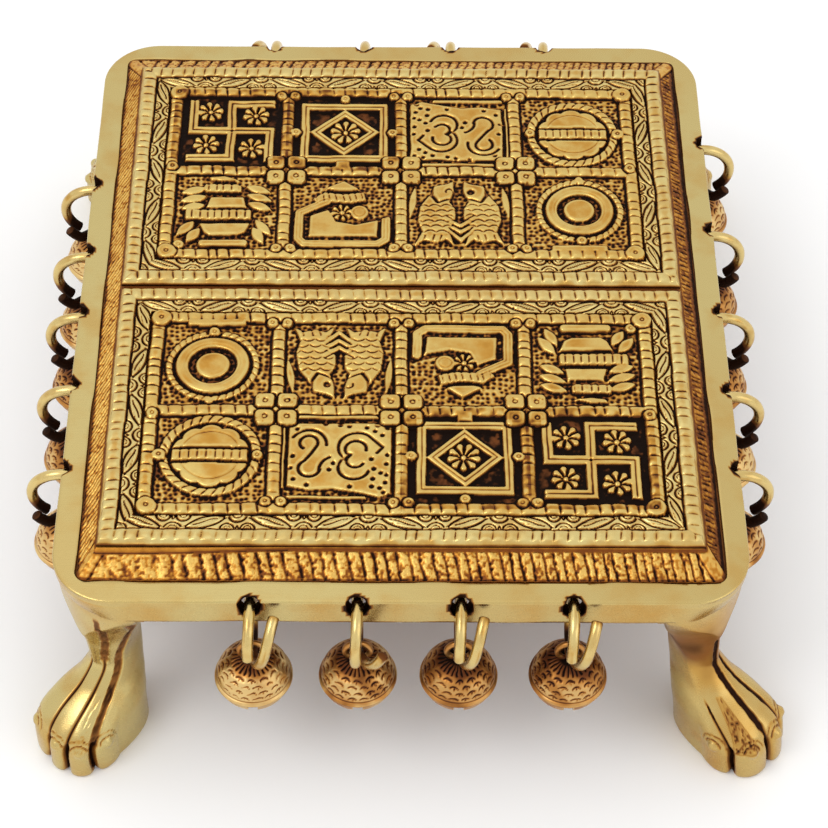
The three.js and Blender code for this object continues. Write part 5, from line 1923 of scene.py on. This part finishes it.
@dataclass
class Ring:
    """Wire bent more than a turn, its cut end leaning away beside the end from the hole.

    Angles run in the plane square to the skirt: 0 outwards and a quarter turn up.
    """

    cut_angle: float
    cut_offset: float
    hidden_angle: float
    hand: float
    seed: int
    # Painted shade low on the ring: depth below the rim where it starts, where it is full, and how dark it gets.
    tarnish: tuple = (13.0, 18.0, 0.5)
    side_offset: float = 2.1
    wire: float = 2.5
    diameter: float = 17.4
    bend_angle: float = -75.0
    hidden_offset: float = 0.4
    centre: tuple = (0.2, 0.0, -10.0)
    bevel: float = 0.16
    steps: int = 150
    sides: int = 20

    def mesh(self) -> bpy.types.Mesh:
        """Sweeps the wire's round section along its curve, closed in the hanger's frame.

        Returns:
            The mesh.
        """
        angle = np.radians(np.linspace(self.cut_angle, self.hidden_angle - 360.0, self.steps))
        bend, hidden = math.radians(self.bend_angle), math.radians(self.hidden_angle)
        radius = (self.diameter - self.wire) / 2
        grown = np.clip((angle - bend) / (math.radians(self.cut_angle) - bend), 0, 1)
        lean = self.side_offset * smooth(angle, bend, hidden) + (self.cut_offset - self.side_offset) * grown
        shift = self.hand * (lean - self.hidden_offset * smooth(-angle, 1.5 * np.pi, 2 * np.pi))
        path = np.stack([radius * np.cos(angle), shift, radius * np.sin(angle)], -1) + np.array(self.centre)
        ahead = np.gradient(path, axis=0)
        ahead /= np.linalg.norm(ahead, axis=-1, keepdims=True)
        out = np.stack([np.cos(angle), 0 * angle, np.sin(angle)], -1)
        over = np.cross(ahead, out)
        over /= np.linalg.norm(over, axis=-1, keepdims=True)
        out = np.cross(over, ahead)
        turn = circle(self.sides)
        lumps = Lumps(self.seed)
        thick = self.wire / 2 * (1 + 0.02 * lumps.at(np.arange(self.steps)[:, None], turn[None, :] * 2, 6.0))
        around = np.cos(turn)[None, :, None] * out[:, None] + np.sin(turn)[None, :, None] * over[:, None]
        points = path[:, None] + thick[..., None] * around
        first, last = ((points[end] - path[end]) * 0.87 + path[end] for end in (0, -1))
        points[0] += ahead[0] * self.bevel
        points[-1] -= ahead[-1] * self.bevel
        points = np.concatenate([first[None], points, last[None]])
        far = np.linspace(0, 40, len(points))[:, None]
        stains_and_shade = 0.2 * smooth(lumps.at(far, turn[None, :] * 3, 2.0), 0.0, 0.9)
        # Painted shade: the wire darkens low on the ring, below the rim, and most on its inner side.
        start, full, dark = self.tarnish
        low = smooth(-np.concatenate([path[:1], path, path[-1:]])[:, 2:], start, full)
        stains_and_shade = stains_and_shade + dark * low * (1 + 0.6 * smooth(-np.cos(turn)[None, :], -0.4, 0.9))
        stains_and_shade += 0.3 * (1 - smooth(far, 0.0, 1.6))
        stains_and_shade[0] = stains_and_shade[-1] = max(0.45, dark)
        piece = Piece("ring")
        piece.tube(points, np.clip(stains_and_shade, 0, 1), flip=True)
        return piece.mesh()


@dataclass
class Bell:
    """Ghungroo: two domes with a flange between them, an eye above and a crossed slit below."""

    radius: float = 8.25
    flange_radius: float = 8.75
    flange: float = 0.5
    rise: float = 7.0
    drop: float = 7.2
    wall: float = 1.0
    eye_radius: float = 2.8
    eye_wire: float = 0.7
    eye_centre: float = 9.1
    slit_width: float = 2.2
    slit_top: float = -0.8
    cavity_drop: float = 5.6
    crescent_pitch: float = 1.7
    columns: int = 150
    seed: int = 61
    tone: float = 0.0

    def mesh(self) -> bpy.types.Mesh:
        """Builds the master bell, centred on its flange, with the slit cut through.

        Returns:
            The mesh.
        """
        piece = Piece("bell")
        self._shell(piece)
        thing = piece.object(MATERIALS.bell)
        cut(thing, self._slit())
        mesh = thing.data
        bpy.data.objects.remove(thing)
        eye = Piece("eye")
        self._eye(eye)
        mesh.materials.clear()
        return self._joined(mesh, eye.mesh())

    @staticmethod
    def _joined(shell: bpy.types.Mesh, eye: bpy.types.Mesh) -> bpy.types.Mesh:
        """Joins two meshes.

        Args:
            shell: Mesh of the shell.
            eye: Mesh of the eye.

        Returns:
            One mesh of both.
        """
        things = [bpy.data.objects.new("part", mesh) for mesh in (shell, eye)]
        for thing in things:
            bpy.context.scene.collection.objects.link(thing)
        with bpy.context.temp_override(active_object=things[0], object=things[0], selected_objects=things,
                                       selected_editable_objects=things):
            bpy.ops.object.join()
        mesh = things[0].data
        bpy.data.objects.remove(things[0])
        return mesh

    def _shell(self, piece: Piece) -> None:
        """Adds the outside and the cavity as two lathed surfaces with closed poles.

        Args:
            piece: The bell.
        """
        turn = circle(self.columns)
        low = np.linspace(math.radians(4), math.radians(88), 11)[::-1]
        high = np.linspace(0, math.radians(88), 44)
        rows = [(self.radius * math.cos(t), -self.flange + (self.flange - self.drop) * math.sin(t)) for t in low]
        rows += [(self.flange_radius - 0.12, -self.flange), (self.flange_radius, -self.flange + 0.12),
                 (self.flange_radius, -0.15), (self.flange_radius - 0.3, self.flange)]
        rows += [(self.radius * math.cos(t), self.flange + (self.rise - self.flange) * math.sin(t)) for t in high]
        profile = np.array(rows)
        r, z = profile[:, :1] + 0 * turn, profile[:, 1:] + 0 * turn
        push, darkening = self._chasing(r, z, turn[None, :])
        slope = np.stack([r / self.radius, z / self.rise], -1)
        slope /= np.linalg.norm(slope, axis=-1, keepdims=True)
        r, z = r + push * slope[..., 0], z + push * slope[..., 1]
        outside = np.stack([r * np.cos(turn), r * np.sin(turn), z], -1)
        piece.globe(outside, darkening, ((-self.drop, 0.5), (self.rise, 0.3)))
        t = np.linspace(math.radians(-86), math.radians(86), 16)
        turn = turn[::3]
        inner_r = ((self.radius - self.wall) * np.cos(t))[:, None] + 0 * turn
        tall = np.where(t < 0, self.cavity_drop, self.rise - self.wall)
        inner_z = (tall * np.sin(t))[:, None] + 0 * turn
        inside = np.stack([inner_r * np.cos(turn), inner_r * np.sin(turn), inner_z], -1)
        # The cavity is painted fully dark, as the shade inside the bell.
        ends = ((-self.cavity_drop, 1.0), (self.rise - self.wall, 1.0))
        piece.globe(inside, np.ones(inner_r.shape), ends, flip=True)

    def _chasing(self, r: Array, z: Array, turn: Array) -> tuple:
        """Chased pattern of the upper dome: punched crescents in rows, then strokes towards the eye.

        Args:
            r: Distance from the axis.
            z: Height from the flange.
            turn: Angle round the axis.

        Returns:
            How far each point is pushed out, and darkness from 0 to 1.
        """
        lumps = Lumps(self.seed)
        arc = self.radius * np.arctan2(np.maximum(z - self.flange, 0) / (self.rise - self.flange),
                                       r / self.radius)
        upper = z > self.flange + 0.01
        sway = turn + 0.05 * lumps.at(np.cos(turn) * 4 + arc, np.sin(turn) * 4, 0.9)
        uneven = lumps.at(np.cos(turn) * 5 + 9, np.sin(turn) * 5 + arc * 0.5, 1.3)
        push, darkening = np.zeros(arc.shape), np.zeros(arc.shape)
        for row in range(4):
            count = 19 - 2 * row
            place = 1.15 + row * self.crescent_pitch + 0.2 * uneven
            cell = ((sway * count / (2 * np.pi) + 0.5 * (row % 2)) % 1 - 0.5) * 2 * np.pi / count * np.maximum(r, 1)
            bend = place + 0.75 * np.clip(1 - (cell / 1.1) ** 2, -0.5, 1)
            line = bump(arc - bend, 0.2) * smooth(1.15 - np.abs(cell), 0, 0.3) * upper
            stem = bump(cell, 0.14) * bump(arc - place - 0.1, 0.4) * upper * smooth(uneven, -0.5, 0.4)
            mark = np.maximum(line * (0.75 + 0.25 * uneven), 0.8 * stem)
            push -= 0.3 * mark
            darkening += 0.95 * mark
        strokes = np.abs((sway * 26 / (2 * np.pi)) % 1 - 0.5)
        band = smooth(arc, 7.7, 8.1) * (1 - smooth(arc + 0.4 * uneven, 10.0, 10.6)) * upper
        push -= 0.22 * bump(strokes, 0.16) * band
        darkening += 0.8 * bump(strokes, 0.15) * band
        darkening += 0.4 * bump(z - self.flange - 0.25, 0.2) + 0.3 * bump(z + self.flange + 0.2, 0.3)
        darkening += 0.34 * smooth(arc, 4.5, 9.5) * upper + 0.4 * smooth(arc, 9.6, 11.2) * upper
        darkening += self.tone + 0.18 * smooth(lumps.at(np.cos(turn) * r, np.sin(turn) * r + z, 3.2), -0.2, 0.8)
        return push, np.clip(darkening, 0, 1)

    def _slit(self) -> bpy.types.Object:
        """Makes two crossed slabs that reach up from below the bell.

        Returns:
            Their object.
        """
        piece = Piece("slit")
        long, wide = self.flange_radius + 1, self.slit_width / 2
        plan = np.array([(-long, -wide), (-wide, -wide), (-wide, -long), (wide, -long), (wide, -wide), (long, -wide),
                         (long, wide), (wide, wide), (wide, long), (-wide, long), (-wide, wide), (-long, wide)])
        levels = np.array([-self.drop - 1, self.slit_top])
        points = np.stack([np.broadcast_to(plan[:, k], (2, 12)) for k in (0, 1)]
                          + [np.broadcast_to(levels[:, None], (2, 12))], -1)
        # The slit's walls are painted nearly black, as shade.
        piece.tube(points, np.full((2, 12), 0.9))
        return piece.object(MATERIALS.bell)

    def _eye(self, piece: Piece) -> None:
        """Adds the eye: a torus standing square to the wall, its foot sunk in the dome.

        Args:
            piece: The eye.
        """
        u, v = circle(48)[:, None], circle(16)[None, :]
        ring = self.eye_radius + self.eye_wire * np.cos(v)
        height = self.eye_centre + ring * np.cos(u)
        points = np.stack([self.eye_wire * np.sin(v) + 0 * u, ring * np.sin(u), height], -1)
        dark = 0.25 + 0.5 * smooth(-points[..., 2], -8.0, -6.6)
        piece.grid(points, dark, wrap_rows=True, wrap_columns=True)


@dataclass
class Pellet:
    """Iron shot that lies in a bell."""

    radius: float = 2.0
    rows: int = 18
    columns: int = 28

    def mesh(self) -> bpy.types.Mesh:
        """Builds a sphere about its own centre.

        Returns:
            The mesh.
        """
        up = np.linspace(-np.pi / 2, np.pi / 2, self.rows + 2)[1:-1][:, None]
        turn = circle(self.columns)[None, :]
        unit = np.stack([np.cos(up) * np.cos(turn), np.cos(up) * np.sin(turn), np.sin(up) + 0 * turn], -1)
        piece = Piece("pellet")
        top = self.radius * 0.99
        piece.globe(unit * self.radius * 0.99, None, ((-top, 0.0), (top, 0.0)))
        return piece.mesh()


@dataclass
class Pendants:
    """All rings, bells and pellets, hung at their places."""

    bell_drop: float = 26.9
    pellet_drop: float = 30.2
    out: float = 0.2
    end_cuts: tuple = ((76.0, 5.3, -2.0), (8.0, 5.6, -20.0), (76.0, 5.0, -2.0), (70.0, 4.9, -2.0))
    tones: tuple = (-0.06, 0.06, 0.16, 0.12)

    def _ring(self, name: str, number: int) -> bpy.types.Mesh:
        """Bends the ring of one hanger, its ends tucked low, with more painted shade low on the rings at the sides.

        Args:
            name: Name of the hanger.
            number: Its number round the table.

        Returns:
            The mesh.
        """
        if name.startswith(("front", "rear")):
            return Ring(*self.end_cuts[number % 4], 1.0, 71 + number, side_offset=0.4, bend_angle=-84.0).mesh()
        hand = -1.0 if name.startswith("right") else 1.0
        return Ring(-28.0, 3.1, -54.0, hand, 71 + number, (9.5, 14.5, 0.75), 2.7, bend_angle=-84.0).mesh()

    def build(self) -> None:
        """Copies the masters to every hanger and settles each on its own body."""
        bells = [Bell(seed=61 + k, tone=tone).mesh() for k, tone in enumerate(self.tones)]
        pellet = Pellet().mesh()
        for number, hanger in enumerate(hangers()):
            for kind, mesh, drop, slot, material in (
                    ("ring", self._ring(hanger.name, number), 0.0, "brass_wire", MATERIALS.wire),
                    ("bell", bells[number % len(bells)].copy(), self.bell_drop, "bell_brass", MATERIALS.bell),
                    ("pellet", pellet.copy(), self.pellet_drop, "iron_pellet", MATERIALS.iron)):
                shift = Matrix.Translation((self.out * MM if drop else 0.0, 0.0, -drop * MM))
                mesh.transform(hanger.matrix() @ shift)
                name = f"{kind}_{hanger.name}"
                settle(put(f"{name}_dressed", mesh, material), name, slot, [name])
        for mesh in (*bells, pellet):
            bpy.data.meshes.remove(mesh)


# --- Stage ------------------------------------------------------------------------------------


@dataclass(frozen=True)
class Studio:
    """Pale floor, soft lamps and the camera of the photograph."""

    focal_pixels: float = 2466.21
    frame_pixels: float = 828.0
    sensor: float = 36.0
    azimuth: float = -1.0
    elevation: float = 50.18
    roll: float = 1.0
    distance: float = 563.97
    target: tuple = (2.92, -36.01, 55.0)
    floor_size: float = 4000.0
    floor_gap: float = 0.05
    floor_colour: tuple = (250, 250, 250)
    world_level: float = 1.0

    def camera(self) -> None:
        """Places the camera by azimuth, elevation and distance from its target, and rolls it."""
        a, e, r = (math.radians(v) for v in (self.azimuth, self.elevation, self.roll))
        back = Vector((math.sin(a) * math.cos(e), -math.cos(a) * math.cos(e), math.sin(e)))
        right = Vector((0, 0, 1)).cross(back).normalized()
        up = back.cross(right)
        tilted = right * math.cos(r) + up * math.sin(r)
        raised = up * math.cos(r) - right * math.sin(r)
        lens = bpy.data.cameras.new("camera")
        lens.sensor_width = self.sensor
        lens.lens = self.focal_pixels * self.sensor / self.frame_pixels
        lens.clip_start = 0.01
        eye = bpy.data.objects.new("camera", lens)
        turn = Matrix((tilted, raised, back)).transposed().to_4x4()
        eye.matrix_world = Matrix.Translation((Vector(self.target) + back * self.distance) * MM) @ turn
        bpy.context.scene.collection.objects.link(eye)
        bpy.context.scene.camera = eye

    def floor(self) -> None:
        """Lays a large pale floor under the feet, a hair below them so that no two faces coincide."""
        half, low = self.floor_size / 2 * MM, -self.floor_gap * MM
        mesh = bpy.data.meshes.new("floor")
        mesh.from_pydata([(-half, -half, low), (half, -half, low), (half, half, low), (-half, half, low)], [],
                         [(0, 1, 2, 3)])
        n = Nodes(bpy.data.materials.new("floor"))
        paint = n.add("BsdfPrincipled", None, Base_Color=linear(self.floor_colour), Roughness=0.85)
        put("floor", mesh, n.finish(paint))

    def lamp(self, name: str, place: tuple, size: float, power: float) -> None:
        """Hangs a square area lamp aimed at the top of the table.

        Args:
            name: Name of the lamp.
            place: Where it hangs, in metres.
            size: Its size in metres.
            power: Its power in watts.
        """
        light = bpy.data.lights.new(name, "AREA")
        light.size = size
        light.energy = power
        holder = bpy.data.objects.new(name, light)
        aim = Vector((0, 0, 0.03)) - Vector(place)
        holder.matrix_world = Matrix.Translation(place) @ aim.to_track_quat("-Z", "Y").to_matrix().to_4x4()
        bpy.context.scene.collection.objects.link(holder)

    def lights(self) -> None:
        """Hangs the lamps in a white world."""
        self.lamp("key", (-0.55, -0.35, 0.9), 0.5, 2.2)
        self.lamp("fill", (0.8, -0.5, 0.6), 0.7, 1.0)
        self.lamp("back", (-0.2, 0.3, 1.0), 0.6, 0.3)
        world = bpy.data.worlds.new("world")
        n = Nodes(world, "World")
        n.finish(n.add("Background", None, Color=(1.0, 1.0, 1.0, 1.0), Strength=self.world_level))
        bpy.context.scene.world = world

    def build(self) -> None:
        """Sets the stage."""
        self.floor()
        self.lights()
        self.camera()
        bpy.context.scene.view_settings.view_transform = "Standard"


class Finishes:
    """The node materials, each made once."""

    def __init__(self) -> None:
        """Makes every material."""
        self.relief = RELIEF_BRASS.material()
        self.rope = ROPE_BRASS.material()
        self.ribbed = RIBBED_BRASS.material()
        self.stand = STAND_BRASS.material()
        self.wire = WIRE_BRASS.material()
        self.bell = BELL_BRASS.material()
        self.iron = Iron().material()


MATERIALS = Finishes()


def main() -> None:
    """Builds every part of the table in order, then the stage."""
    logging.basicConfig(level=logging.INFO, format="%(name)s: %(message)s")
    for panel in (ReliefPanel("relief_panel_front", -38.5, True, 5),
                  ReliefPanel("relief_panel_rear", 38.5, False, 9)):
        panel.build()
    RibbedBed().build()
    Stand().build()
    Pendants().build()
    Studio().build()


if __name__ == "__main__":
    main()
